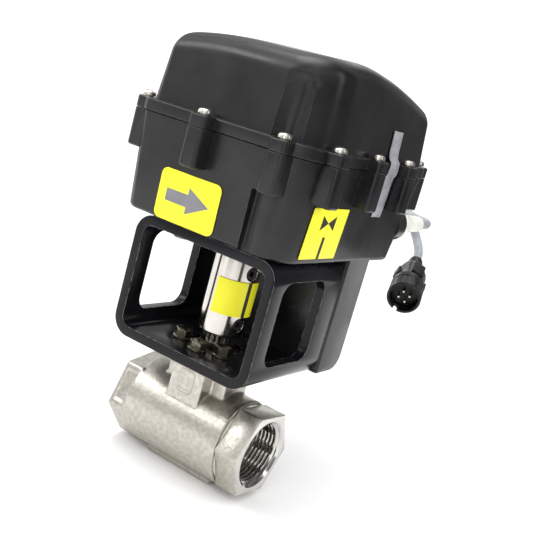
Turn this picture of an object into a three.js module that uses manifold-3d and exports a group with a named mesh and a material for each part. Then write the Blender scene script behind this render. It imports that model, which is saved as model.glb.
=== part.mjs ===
// A motorized quarter-turn valve actuator: a two-piece ball valve, the bracket and coupling above it,
// and a geared motor unit in a two-shell housing with a short cable that ends in a round connector.
// Millimetres, +Z up. The origin is where the stem axis, Z, crosses the pipe axis, X. Y runs to the back.
// The valve is drawn closed: the ball's bore lies along Y, across the pipe.
import * as THREE from "three";
import { mergeVertices } from "three/addons/utils/BufferGeometryUtils.js";
import Module from "manifold-3d";

const wasm = await Module();
wasm.setup();

const GAP = 0.3; // clearance between neighbouring pieces

// Valve
const VALVE_LEFT = -41;
const VALVE_RIGHT = 42.5;
const HEX_FLATS = 41;
const HEX_LEFT_TURN = -9.8;
const HEX_RIGHT_TURN = 5;
const LEFT_HEX_END = -29;
const BODY_END = 28.6;
const CAP_SHOULDER = 29.8;
const BARREL_R = 22.8;
const THREAD_R = 16.2;
const PORT_R = 10.5;
const BALL_R = 16;
const CHAMBER_R = 17.6;
const CHAMBER_LEFT = -19.4;
const SEAT_X = 12.2;
const FOOT_Z = -24.3;
const PAD_TOP = 37;
const ARM_WIDTH = 20;
const ARM_X = 18.5;
const ARM_Y = 18.3;
const STEM_R = 6.2;
const PACKING_R = 8.6;

// Bracket and its fasteners
const BRACKET_HALF = 42;
const BRACKET_FRONT = -32.7;
const BRACKET_BACK = 32.6;
const BRACKET_BOTTOM = 37.3;
const BRACKET_TOP = 99.7;
const BRACKET_WALL = 5;
const BRACKET_CORNER = 10;
const WINDOW = { y0: -23, y1: 17, z0: 49, z1: 91, r: 7 };
const PAD_BOLT = 12.7; // half the spacing of the 36 mm bolt circle's square
const LOCATING_BOLT = [2, -19];
const HOUSING_SCREW = [26, 16];

// Drive train
const COUPLING_R = 12;
const COUPLING_BOTTOM = 50;
const COUPLING_TOP = 97.9;
const SHAFT_R = 6;
const STEM_TOP = 66;
const SET_SCREW_Z = { upper: 84, lower: 57 };
const POINTER_ANGLE = -14;
const LABEL_ARC = [-94, 24]; // degrees about the coupling, from its left end to its right one

// Housing
const BASE = { z0: 100, z1: 147.6 };
const BASE_FOOT = { x0: -51.8, x1: 43, y0: -35.3, y1: 81.5, r: 8, frontRight: 16 };
const BASE_RIM = { x0: -54.2, x1: 45.3, y0: -37, y1: 88, r: 7, frontRight: 14 };
const RECESS = { x0: 19.5, x1: 26.5, depthY: -31.8 }; // in the front wall, below the corner lobe
const WALL = 3;
const SEAL_LINE = { ...BASE_RIM, x0: BASE_RIM.x0 + 3.2 }; // passes inside the screws on the left
const LEG = { x0: -42.6, x1: 42.6, y0: 33.2, y1: 57.5, z0: 38.2, frontR: 2.5, backR: 9 };
const RIM_LIP = 1;
const BOSS_BOTTOM = 129;
const COVER = { z0: 148, z1: 153.6 };
const DOME_FOOT = { x0: -51.4, x1: 44.3, y0: -34.8, y1: 85.7, r: 7, frontRight: 24 };
const DOME_CROWN = 194.4;
const CROWN_FALL = { back: 12, front: 3.7, left: 4.9 };
const CROWN_LEVEL = { front: 20, left: -4, backPower: 1.76 }; // where the falls begin, and the back's power
const DOME_EDGE = 10;
const SKIN = 2.5;
const LOBE_HALF = 5;
const LOBE_LEFT_REACH = 3.4; // the left lobes stand out less than the others
const COVER_SCREWS = [
  [-55, -31], [-12.5, -40.6], [31, -39.2],
  [48.4, -20], [48.4, 19], [48.4, 55], [38, 92],
  [-38, 92], [-55, 62], [-55, 14],
];

// Gear train: module, teeth and heights, from the output shaft to the motor
const MOTOR_AT = [0, 45.3];
const OUTPUT_STAGE = { module: 1, wheel: 48, pinion: 12, z0: 105, z1: 111 };
const MIDDLE_STAGE = { module: 0.8, wheel: 36, pinion: 12, z0: 112, z1: 116 };
const MOTOR_STAGE = { module: 0.6, wheel: 36, pinion: 12, z0: 117, z1: 120.6 };
const FIRST_IDLER_ANGLE = 55;

// Cam and switches
const CAM_R = 10;
const CAM_RISE = 2;
const CAM = { z0: 126.4, z1: 132 };
const SWITCH_Z = 129.2;

// Cable: the route of its centre line from the gland to the connector
const GLAND = { x: 36, y0: 86.3, y1: 122, z: 119.5 };
const CABLE_R = 3;
const CABLE_ROUTE = [
  [36, 122.3, 119.5], [36, 126.6, 119.5], [36, 131, 119.5], [34.9, 138.4, 119.4], [31.8, 145.4, 119],
  [27.3, 152.2, 118.6], [21.8, 159, 118.1], [15.8, 166, 117.7], [9.7, 173.6, 117.5], [4, 182, 117.5],
  [1.9, 186.5, 117], [1, 190.7, 115.5], [1.2, 194.4, 113.2], [2.2, 197.3, 110.3], [3.9, 199.4, 107],
  [6.1, 200.5, 103.5], [8.6, 200.3, 99.9], [11.3, 198.7, 96.6], [13.9, 195.5, 93.7],
  [16.3, 190.5, 91.5], [19.3, 182.4, 88.9],
];
const CONNECTOR_LENGTH = 56;
const PIN_TURN = 40;
const CONNECTOR_AXIS = new THREE.Vector3(0.335, -0.898, -0.286).normalize();

const BLACK_PLASTIC = { color: 0x1b1c1f, roughness: 0.45, metalness: 0 };
const BLACK_ANODISED = { color: 0x17181b, roughness: 0.35, metalness: 0.5 };
const CAST_STEEL = { color: 0xb9b3a6, roughness: 0.5, metalness: 1 };
const POLISHED_STEEL = { color: 0xd2cfca, roughness: 0.18, metalness: 1 };
const DARK_STEEL = { color: 0x5c584e, roughness: 0.4, metalness: 1 };
const YELLOW = { color: 0xf6e81c, roughness: 0.5, metalness: 0 };
const WHITE_PLASTIC = { color: 0xe9e7df, roughness: 0.5, metalness: 0 };
const RUBBER = { color: 0x101010, roughness: 0.85, metalness: 0 };
const BRASS = { color: 0xc9a24a, roughness: 0.35, metalness: 1 };
const GREY_CABLE = { color: 0x8b8f92, roughness: 0.55, metalness: 0 };
const BOARD_GREEN = { color: 0x1f6b3a, roughness: 0.5, metalness: 0 };
const SILVER_TAPE = { color: 0xb4b5b8, roughness: 0.35, metalness: 0.6 };

const group = new THREE.Group();

// ---------- geometry helpers ----------

const degrees = THREE.MathUtils.degToRad;

function solid(geometry) {
  const bare = geometry.index ? geometry.toNonIndexed() : geometry.clone();
  bare.deleteAttribute("normal");
  bare.deleteAttribute("uv");
  const merged = mergeVertices(bare, 1e-3);
  const mesh = new wasm.Mesh({
    numProp: 3,
    vertProperties: new Float32Array(merged.attributes.position.array),
    triVerts: new Uint32Array(merged.index.array),
  });
  return new wasm.Manifold(mesh);
}

function geometryOf(body) {
  const mesh = body.getMesh();
  const geometry = new THREE.BufferGeometry();
  geometry.setAttribute("position", new THREE.BufferAttribute(mesh.vertProperties, 3));
  geometry.setIndex(new THREE.BufferAttribute(mesh.triVerts, 1));
  return geometry;
}

const join = (first, ...others) => others.reduce((sum, other) => sum.add(other), first);
const cut = (first, ...others) => others.reduce((rest, other) => rest.subtract(other), first);

function addPiece(name, body, finish, parent = group) {
  const material = new THREE.MeshStandardMaterial(finish);
  const mesh = new THREE.Mesh(geometryOf(body), material);
  mesh.name = name;
  parent.add(mesh);
  return mesh;
}

function block(x0, x1, y0, y1, z0, z1) {
  const geometry = new THREE.BoxGeometry(x1 - x0, y1 - y0, z1 - z0);
  return solid(geometry.translate((x0 + x1) / 2, (y0 + y1) / 2, (z0 + z1) / 2));
}

// A solid of revolution about Z from [radius, height] points that start and end on the axis.
function revolve(profile, sides = 24) {
  const points = profile.map(([radius, height]) => new THREE.Vector2(radius, height));
  return solid(new THREE.LatheGeometry(points, sides).rotateX(Math.PI / 2));
}

function disc(radius, z0, z1, sides = 24) {
  return revolve([[0, z0], [radius, z0], [radius, z1], [0, z1]], sides);
}

function ring(inner, outer, z0, z1, sides = 24) {
  return revolve([[inner, z0], [outer, z0], [outer, z1], [inner, z1], [inner, z0]], sides);
}

function placed(body, matrix) {
  return solid(geometryOf(body).applyMatrix4(matrix));
}

const moved = (body, x, y, z) => placed(body, new THREE.Matrix4().makeTranslation(x, y, z));
const turnedZ = (body, angle) => placed(body, new THREE.Matrix4().makeRotationZ(angle));
// Lays a solid made along Z down so that its +Z points along +X or +Y.
const alongX = (body) => placed(body, new THREE.Matrix4().makeRotationY(Math.PI / 2));
const alongY = (body) => placed(body, new THREE.Matrix4().makeRotationX(-Math.PI / 2));

function extrudeZ(shape, z0, z1, curveSegments = 3) {
  const geometry = new THREE.ExtrudeGeometry(shape, {
    depth: z1 - z0, bevelEnabled: false, curveSegments,
  });
  return solid(geometry.translate(0, 0, z0));
}

function roundedRect(x0, x1, y0, y1, r) {
  const shape = new THREE.Shape();
  shape.moveTo(x0 + r, y0);
  shape.lineTo(x1 - r, y0);
  shape.absarc(x1 - r, y0 + r, r, -Math.PI / 2, 0);
  shape.lineTo(x1, y1 - r);
  shape.absarc(x1 - r, y1 - r, r, 0, Math.PI / 2);
  shape.lineTo(x0 + r, y1);
  shape.absarc(x0 + r, y1 - r, r, Math.PI / 2, Math.PI);
  shape.lineTo(x0, y0 + r);
  shape.absarc(x0 + r, y0 + r, r, Math.PI, 1.5 * Math.PI);
  return shape;
}

const roundedBlock = (x0, x1, y0, y1, r, z0, z1) => extrudeZ(roundedRect(x0, x1, y0, y1, r), z0, z1);

function polygon(points) {
  return new THREE.Shape(points.map(([x, y]) => new THREE.Vector2(x, y)));
}

function hexagon(flats, turn = 0) {
  const corners = [0, 1, 2, 3, 4, 5].map((i) => {
    const angle = degrees(60 * i + turn);
    return [(flats / Math.sqrt(3)) * Math.cos(angle), (flats / Math.sqrt(3)) * Math.sin(angle)];
  });
  return polygon(corners);
}

// A rounded rectangle's outline as points, counter-clockwise, the same count for every radius.
// Its front right corner may have a radius of its own.
function outline({ x0, x1, y0, y1, r, frontRight = r }, steps = 5) {
  const corners = [
    [x1 - frontRight, y0 + frontRight, -90, frontRight], [x1 - r, y1 - r, 0, r],
    [x0 + r, y1 - r, 90, r], [x0 + r, y0 + r, 180, r],
  ];
  return corners.flatMap(([cx, cy, start, radius]) =>
    Array.from({ length: steps + 1 }, (_, i) => {
      const angle = degrees(start + (90 * i) / steps);
      return [cx + radius * Math.cos(angle), cy + radius * Math.sin(angle)];
    }));
}

const inset = ({ x0, x1, y0, y1, r, frontRight = r }, d) => ({
  x0: x0 + d, x1: x1 - d, y0: y0 + d, y1: y1 - d,
  r: Math.max(r - d, 1), frontRight: Math.max(frontRight - d, 1),
});

// A closed solid through rings of equal point count, from the bottom ring to the top one.
function loft(rings) {
  const count = rings[0].length;
  const positions = rings.flat(2);
  const index = [];
  for (let k = 0; k + 1 < rings.length; k++) {
    for (let i = 0; i < count; i++) {
      const a = k * count + i;
      const b = k * count + ((i + 1) % count);
      index.push(a, b, b + count, a, b + count, a + count);
    }
  }
  const caps = [[rings[0], 0, true], [rings.at(-1), (rings.length - 1) * count, false]];
  for (const [points, start, down] of caps) {
    const centre = positions.length / 3;
    positions.push(...[0, 1, 2].map((axis) => points.reduce((sum, p) => sum + p[axis], 0) / count));
    for (let i = 0; i < count; i++) {
      const a = start + i;
      const b = start + ((i + 1) % count);
      index.push(...(down ? [centre, b, a] : [centre, a, b]));
    }
  }
  const geometry = new THREE.BufferGeometry();
  geometry.setAttribute("position", new THREE.Float32BufferAttribute(positions, 3));
  geometry.setIndex(index);
  return solid(geometry);
}

const level = (rect, z, steps) => outline(rect, steps).map(([x, y]) => [x, y, z]);

// ---------- valve ----------

const hexPrismX = (turn, x0, x1) => {
  // alongX sends local X to -Z, so the hexagon's turn is reversed to read about +X
  return alongX(extrudeZ(hexagon(HEX_FLATS, -turn + 30), x0, x1));
};
const discX = (radius, x0, x1, sides = 24) => alongX(disc(radius, x0, x1, sides));
const ringX = (inner, outer, x0, x1, sides = 24) => alongX(ring(inner, outer, x0, x1, sides));

function mouthX(x, inward) {
  // the chamfer that leads into a pipe thread
  const lead = 2.2;
  const points = [[0, -0.1], [THREAD_R + lead, -0.1], [THREAD_R, lead], [0, lead]];
  const cone = revolve(inward > 0 ? points : points.map(([r, h]) => [r, -h]).reverse());
  return moved(alongX(cone), x, 0, 0);
}

function makeValveBody() {
  const barrel = discX(BARREL_R, LEFT_HEX_END - 1, BODY_END, 40);
  const hex = hexPrismX(HEX_LEFT_TURN, VALVE_LEFT, LEFT_HEX_END);
  const frontArms = block(-ARM_WIDTH / 2, ARM_WIDTH / 2, -ARM_Y, ARM_Y, 5, 32.5);
  const sideArms = block(-ARM_X, ARM_X, -ARM_WIDTH / 2, ARM_WIDTH / 2, 5, 32.5);
  const pad = roundedBlock(-19.5, 19.5, -22, 19.5, 5, 32, PAD_TOP);
  const foot = roundedBlock(-20, 23, -9, 9, 2, FOOT_Z, -17);
  const body = join(barrel, hex, frontArms, sideArms, pad, foot);
  const boltHoles = padBoltPlaces().map(([x, y]) => moved(disc(2.3, 31, PAD_TOP + 1, 12), x, y, 0));
  return cut(
    body,
    discX(THREAD_R, VALVE_LEFT - 1, -23),
    mouthX(VALVE_LEFT, 1),
    discX(PORT_R, -25, -15, 24),
    discX(CHAMBER_R, CHAMBER_LEFT, BODY_END + 1),
    disc(7.9, 10, 21.4, 24),
    disc(STEM_R + GAP, 15, 39, 24),
    disc(PACKING_R + GAP, 28, 39, 24),
    ...boltHoles,
  );
}

function padBoltPlaces() {
  return [[-PAD_BOLT, -PAD_BOLT], [PAD_BOLT, -PAD_BOLT], [PAD_BOLT, PAD_BOLT], [-PAD_BOLT, PAD_BOLT]];
}

function makeEndCap() {
  const hex = hexPrismX(HEX_RIGHT_TURN, CAP_SHOULDER, VALVE_RIGHT);
  const shank = discX(CHAMBER_R - GAP, 19.7, CAP_SHOULDER + 1);
  const bore = discX(THREAD_R - 1.3, 24, VALVE_RIGHT);
  const thread = discX(THREAD_R, 28, VALVE_RIGHT + 1);
  return cut(join(hex, shank), bore, thread, mouthX(VALVE_RIGHT, -1), discX(PORT_R, 18, 26, 24));
}

function makeSeat(side) {
  const x0 = side > 0 ? SEAT_X : CHAMBER_LEFT + GAP;
  const x1 = side > 0 ? -CHAMBER_LEFT : -SEAT_X;
  const ball = solid(new THREE.SphereGeometry(BALL_R + GAP, 24, 16));
  return cut(ringX(PORT_R, CHAMBER_R - GAP, x0, x1), ball);
}

function makeBall() {
  const ball = solid(new THREE.SphereGeometry(BALL_R, 24, 16));
  const bore = alongY(disc(PORT_R, -BALL_R - 1, BALL_R + 1, 24));
  const slot = block(-BALL_R, BALL_R, -2.9, 2.9, 12, BALL_R + 1);
  return cut(ball, bore, slot);
}

// The round stem with two flats near its top, or the hole for it with a gap all round.
function flattedRod(gap, z0, z1) {
  const rod = disc(STEM_R + gap, z0, z1, 24);
  return rod.intersect(block(-10, 10, -4.6 - gap, 4.6 + gap, z0 - 1, z1 + 1));
}

function makeStem() {
  const tang = block(-6, 6, -2.6, 2.6, 12.3, 18);
  const shoulder = disc(7.6, 17, 19.4, 24);
  const rod = disc(STEM_R, 19, COUPLING_BOTTOM + 2, 24);
  return join(tang.intersect(disc(6.5, 12, 18.5, 24)), shoulder, rod, flattedRod(0, 51, STEM_TOP));
}

function addValve() {
  addPiece("valve_body", makeValveBody(), CAST_STEEL);
  addPiece("end_cap", makeEndCap(), CAST_STEEL);
  addPiece("body_seal", ringX(18, 21, BODY_END + GAP, CAP_SHOULDER - GAP), WHITE_PLASTIC);
  addPiece("seat_ring_left", makeSeat(-1), WHITE_PLASTIC);
  addPiece("seat_ring_right", makeSeat(1), WHITE_PLASTIC);
  addPiece("ball", makeBall(), POLISHED_STEEL);
  addPiece("valve_stem", makeStem(), POLISHED_STEEL);
  addPiece("thrust_washer", ring(STEM_R + GAP, 7.6, 19.7, 21.1, 24), WHITE_PLASTIC);
  addPiece("stem_packing", ring(STEM_R + GAP, PACKING_R, 28.3, 34, 24), WHITE_PLASTIC);
  addPiece("gland_ring", ring(STEM_R + GAP, PACKING_R, 34.3, 38.2, 24), POLISHED_STEEL);
  const nut = cut(extrudeZ(hexagon(18), 38.5, 44.3), disc(STEM_R + GAP, 38, 45, 24));
  addPiece("packing_nut", nut, DARK_STEEL);
}

// ---------- bracket ----------

// The bracket's section lies in X and Z, so it is drawn flat and stood up along Y.
function tubeAlongY(x0, x1, z0, z1, r, y0, y1) {
  return placed(
    extrudeZ(roundedRect(x0, x1, z0, z1, r), -y1, -y0),
    new THREE.Matrix4().makeRotationX(Math.PI / 2),
  );
}

function windowCut() {
  const shape = roundedRect(WINDOW.y0, WINDOW.y1, WINDOW.z0, WINDOW.z1, WINDOW.r);
  const flat = extrudeZ(shape, -BRACKET_HALF - 1, BRACKET_HALF + 1);
  const turn = new THREE.Matrix4().makeBasis(
    new THREE.Vector3(0, 1, 0), new THREE.Vector3(0, 0, 1), new THREE.Vector3(1, 0, 0),
  );
  return placed(flat, turn);
}

const housingScrewPlaces = () =>
  [[-1, -1], [1, -1], [1, 1], [-1, 1]].map(([a, b]) => [a * HOUSING_SCREW[0], b * HOUSING_SCREW[1]]);

function makeBracket() {
  const w = BRACKET_WALL;
  const outer = tubeAlongY(
    -BRACKET_HALF, BRACKET_HALF, BRACKET_BOTTOM, BRACKET_TOP, BRACKET_CORNER, BRACKET_FRONT, BRACKET_BACK,
  );
  const inner = tubeAlongY(
    -BRACKET_HALF + w, BRACKET_HALF - w, BRACKET_BOTTOM + w, BRACKET_TOP - w, BRACKET_CORNER - w,
    BRACKET_FRONT - 1, BRACKET_BACK + 1,
  );
  const floorHoles = [...padBoltPlaces(), LOCATING_BOLT].map(([x, y]) =>
    moved(disc(2.9, BRACKET_BOTTOM - 1, BRACKET_BOTTOM + w + 1, 12), x, y, 0));
  const roofHoles = housingScrewPlaces().map(([x, y]) =>
    moved(disc(2.9, BRACKET_TOP - w - 1, BRACKET_TOP + 1, 12), x, y, 0));
  return cut(
    outer, inner, windowCut(),
    disc(13.2, BRACKET_BOTTOM - 1, BRACKET_BOTTOM + w + 1),
    disc(18.4, BRACKET_TOP - w - 1, BRACKET_TOP + 1),
    ...floorHoles, ...roofHoles,
  );
}

// A hexagon-head bolt with its flange, standing on z = 0 with its shank below.
function hexBolt(flats, head, shankR, shank) {
  return join(
    extrudeZ(hexagon(flats, 20), 1, head),
    disc(flats * 0.62, 0, 1.1, 16),
    disc(shankR, -shank, 0.5, 12),
  );
}

function addBracket() {
  addPiece("mounting_bracket", makeBracket(), BLACK_ANODISED);
  const floor = BRACKET_BOTTOM + BRACKET_WALL + GAP;
  padBoltPlaces().forEach(([x, y], i) => {
    addPiece(`bracket_bolt_${i + 1}`, hexBolt(8, 5, 2, 9.5), DARK_STEEL).position.set(x, y, floor);
  });
  const locating = addPiece("locating_bolt", hexBolt(8, 4.4, 2, 4.6), DARK_STEEL);
  locating.position.set(LOCATING_BOLT[0], LOCATING_BOLT[1], floor);
  housingScrewPlaces().forEach(([x, y], i) => {
    const screw = addPiece(`housing_screw_${i + 1}`, hexBolt(8, 3.6, 2.2, 9.4), DARK_STEEL);
    screw.rotation.x = Math.PI;
    screw.position.set(x, y, BRACKET_TOP - BRACKET_WALL - GAP);
  });
}

// ---------- output: coupling, shaft, gears ----------

const setScrewTool = (radius, z, x0, x1) => turnedZ(moved(discX(radius, x0, x1, 16), 0, 0, z),
  degrees(POINTER_ANGLE));

function makeCoupling() {
  const chamfer = 0.8;
  const body = revolve([
    [0, COUPLING_BOTTOM], [COUPLING_R - chamfer, COUPLING_BOTTOM], [COUPLING_R, COUPLING_BOTTOM + chamfer],
    [COUPLING_R, COUPLING_TOP - chamfer], [COUPLING_R - chamfer, COUPLING_TOP], [0, COUPLING_TOP],
  ], 48);
  return cut(
    body,
    flattedRod(GAP, COUPLING_BOTTOM + 2, STEM_TOP + GAP),
    disc(STEM_R + GAP, COUPLING_BOTTOM - 1, COUPLING_BOTTOM + 2.5, 24),
    disc(SHAFT_R + GAP, 72, COUPLING_TOP + 1, 24),
    setScrewTool(3.3, SET_SCREW_Z.upper, 3, 14),
    setScrewTool(3.3, SET_SCREW_Z.lower, 3, 14),
  );
}

function makeSetScrew(z) {
  const screw = setScrewTool(3, z, SHAFT_R + 0.6, COUPLING_R - 0.6);
  const socket = turnedZ(moved(alongX(extrudeZ(hexagon(3), 9.4, 13)), 0, 0, z), degrees(POINTER_ANGLE));
  return cut(screw, socket);
}

// A curved plate on the coupling, between two angles in degrees.
function makeIndicator() {
  const [start, end] = LABEL_ARC.map(degrees);
  const inner = COUPLING_R + GAP;
  const outer = inner + 0.5;
  const shape = new THREE.Shape();
  shape.absarc(0, 0, outer, start, end, false);
  shape.absarc(0, 0, inner, end, start, true);
  return extrudeZ(shape, 61.5, 79.5, 14);
}

// Straight-flanked teeth, slim enough to keep backlash. Tooth 0 points along the given angle.
function gearShape(module, teeth, angle, hole) {
  const root = (module * teeth) / 2 - 1.2 * module;
  const tip = (module * teeth) / 2 + 0.75 * module;
  const pitch = (2 * Math.PI) / teeth;
  const points = [];
  for (let i = 0; i < teeth; i++) {
    const centre = angle + i * pitch;
    const corners = [[root, -0.26], [tip, -0.09], [tip, 0.09], [root, 0.26]];
    corners.forEach(([r, part]) => {
      points.push([r * Math.cos(centre + part * pitch), r * Math.sin(centre + part * pitch)]);
    });
  }
  const shape = polygon(points);
  if (hole) {
    shape.holes.push(new THREE.Path().absarc(0, 0, hole, 0, 2 * Math.PI, true));
  }
  return shape;
}

const centreDistance = ({ module, wheel, pinion }) => (module * (wheel + pinion)) / 2;

// Where a gear lies that meshes with two others, on the side away from the output shaft.
function betweenCentres([ax, ay], fromA, [bx, by], fromB) {
  const span = Math.hypot(bx - ax, by - ay);
  const along = (fromA ** 2 - fromB ** 2 + span ** 2) / (2 * span);
  const out = Math.sqrt(fromA ** 2 - along ** 2);
  const ux = (bx - ax) / span;
  const uy = (by - ay) / span;
  return [ax + ux * along - uy * out, ay + uy * along + ux * out];
}

const angleTo = ([ax, ay], [bx, by]) => Math.atan2(by - ay, bx - ax);

const idler1 = [
  centreDistance(OUTPUT_STAGE) * Math.cos(degrees(FIRST_IDLER_ANGLE)),
  centreDistance(OUTPUT_STAGE) * Math.sin(degrees(FIRST_IDLER_ANGLE)),
];
const idler2 = betweenCentres(MOTOR_AT, centreDistance(MOTOR_STAGE), idler1, centreDistance(MIDDLE_STAGE));

// A wheel with a tooth towards its pinion, and a pinion with a gap towards its wheel.
function wheelOf({ module, wheel, z0, z1 }, towards, hole) {
  return extrudeZ(gearShape(module, wheel, towards, hole), z0, z1, 8);
}
function pinionOf({ module, pinion, z0, z1 }, towards) {
  return extrudeZ(gearShape(module, pinion, towards + Math.PI / pinion), z0 - 0.5, z1 + 0.5);
}

function makeIdler(at, pinionStage, pinionTowards, wheelStage, wheelTowards) {
  const body = join(
    disc(1.5, 101.4, 124, 12),
    pinionOf(pinionStage, angleTo(at, pinionTowards)),
    wheelOf(wheelStage, angleTo(at, wheelTowards)),
    disc(2.6, 103.4, 121.4, 16),
  );
  return moved(body, at[0], at[1], 0);
}

function makeCam() {
  const points = [];
  for (let local = 0; local < 360; local += 10) {
    const climb = Math.max(0, 1 - Math.abs(local - 180) / 90);
    const r = CAM_R + CAM_RISE * climb;
    points.push([r * Math.cos(degrees(local)), r * Math.sin(degrees(local))]);
  }
  const shape = polygon(points);
  shape.holes.push(new THREE.Path().absarc(0, 0, SHAFT_R + GAP, 0, 2 * Math.PI, true));
  return extrudeZ(shape, CAM.z0, CAM.z1, 12);
}

function addDrive() {
  addPiece("drive_coupling", makeCoupling(), POLISHED_STEEL);
  addPiece("set_screw_upper", makeSetScrew(SET_SCREW_Z.upper), RUBBER);
  addPiece("set_screw_lower", makeSetScrew(SET_SCREW_Z.lower), RUBBER);
  addPiece("indicator_label", makeIndicator(), YELLOW);
  addPiece("output_shaft", disc(SHAFT_R, 72.4, 135, 24), POLISHED_STEEL);
  const bush = join(ring(SHAFT_R + GAP, 17.5, 98.2, 99.4, 32), ring(SHAFT_R + GAP, 9, 98.2, 103.8, 32));
  addPiece("output_bush", bush, POLISHED_STEEL);
  const outputWheel = wheelOf(OUTPUT_STAGE, angleTo([0, 0], idler1), SHAFT_R + GAP);
  addPiece("output_gear", outputWheel, WHITE_PLASTIC);
  addPiece("idler_gear_1", makeIdler(idler1, OUTPUT_STAGE, [0, 0], MIDDLE_STAGE, idler2), WHITE_PLASTIC);
  addPiece("idler_gear_2", makeIdler(idler2, MIDDLE_STAGE, idler1, MOTOR_STAGE, MOTOR_AT), WHITE_PLASTIC);
  const pinion = cut(pinionOf(MOTOR_STAGE, angleTo(MOTOR_AT, idler2)), disc(1.3, 110, 125, 12));
  addPiece("motor_pinion", moved(pinion, MOTOR_AT[0], MOTOR_AT[1], 0), BRASS);
  addPiece("cam", makeCam(), RUBBER);
}

// ---------- motor, frame, switches, board ----------

function makeMotor() {
  const can = roundedBlock(-10, 10, -8, 8, 5, 50, 100);
  return moved(join(can, disc(4, 99, 103, 16), disc(1, 102, 121, 8)), MOTOR_AT[0], MOTOR_AT[1], 0);
}

function makeGearFrame() {
  const plate = roundedBlock(-39.4, 39.4, -28.4, 66, 4, 121.8, 123.6);
  const posts = [[-36, -25], [35, -22], [36, 62], [-36, 62]].map(([x, y]) =>
    moved(disc(3, 103.4, 139.6, 12), x, y, 0));
  const axleHoles = [idler1, idler2].map(([x, y]) => moved(disc(1.9, 121, 125, 12), x, y, 0));
  const shaftHole = disc(SHAFT_R + 1, 121, 125, 24);
  return cut(join(plate, ...posts), shaftHole, ...axleHoles);
}

// A switch body on +X, its plunger hole facing the cam.
function makeSwitchBody() {
  const body = block(16, 29, -10, 10, 124, 134);
  return cut(body, moved(discX(1.6, 15, 24, 12), 0, 0, SWITCH_Z));
}
const makePlunger = (tip) => moved(discX(1.3, tip, tip + 9, 12), 0, 0, SWITCH_Z);

function makeBoard() {
  const board = roundedBlock(-36, 36, -30, 70, 2, 140, 141.6);
  const terminal = block(-30, 6, 58, 67, 141.5, 151);
  const relays = [block(-28, -12, 20, 34, 141.5, 152), block(-6, 10, 20, 34, 141.5, 152)];
  const capacitors = [[24, 10], [24, 26], [24, 44]].map(([x, y]) => moved(disc(5.5, 141.5, 156, 16), x, y, 0));
  const chip = block(-24, -6, -14, -6, 141.5, 143.6);
  return join(board, terminal, ...relays, ...capacitors, chip);
}

function addInside() {
  addPiece("motor", makeMotor(), DARK_STEEL);
  addPiece("gear_frame", makeGearFrame(), POLISHED_STEEL);
  addPiece("closed_switch", turnedZ(makeSwitchBody(), Math.PI), RUBBER);
  addPiece("open_switch", turnedZ(makeSwitchBody(), -Math.PI / 2), RUBBER);
  const pressed = turnedZ(makePlunger(CAM_R + CAM_RISE + GAP), Math.PI);
  addPiece("closed_plunger", pressed, WHITE_PLASTIC);
  const released = turnedZ(makePlunger(CAM_R + GAP), -Math.PI / 2);
  addPiece("open_plunger", released, WHITE_PLASTIC);
  addPiece("circuit_board", makeBoard(), BOARD_GREEN);
}

// ---------- housing ----------

// The lobe that carries a cover screw, from the wall out to just past the screw.
function screwLobe([x, y], z0, z1) {
  const r = LOBE_HALF;
  const cx = Math.min(Math.max(x, BASE_RIM.x0 + 6), BASE_RIM.x1 - 6);
  const cy = Math.min(Math.max(y, BASE_RIM.y0 + 6), BASE_RIM.y1 - 6);
  const left = x < cx ? LOBE_LEFT_REACH : r;
  const low = [Math.min(x, cx) - (x <= cx ? left : 0), Math.min(y, cy) - (y <= cy ? r : 0)];
  const high = [Math.max(x, cx) + (x >= cx ? r : 0), Math.max(y, cy) + (y >= cy ? r : 0)];
  return roundedBlock(low[0], high[0], low[1], high[1], 2.4, z0, z1);
}

const screwHoles = (z0, z1) => COVER_SCREWS.map(([x, y]) => moved(disc(2.2, z0, z1, 10), x, y, 0));

function legSolid(grow, z0, z1) {
  // drawn in Y and Z so that its lower corners are round, then stood across X
  const shape = polygon(outline({
    x0: LEG.y0 + grow, x1: LEG.y1 - grow, y0: z0, y1: z1 + 20,
    r: Math.max(LEG.frontR - grow, 0.5), frontRight: LEG.backR - grow,
  }));
  const flat = extrudeZ(shape, LEG.x0 + grow, LEG.x1 - grow);
  const turn = new THREE.Matrix4().makeBasis(
    new THREE.Vector3(0, 1, 0), new THREE.Vector3(0, 0, 1), new THREE.Vector3(1, 0, 0),
  );
  return placed(flat, turn).intersect(block(-99, 99, 0, 99, z0 - 1, z1));
}

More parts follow.
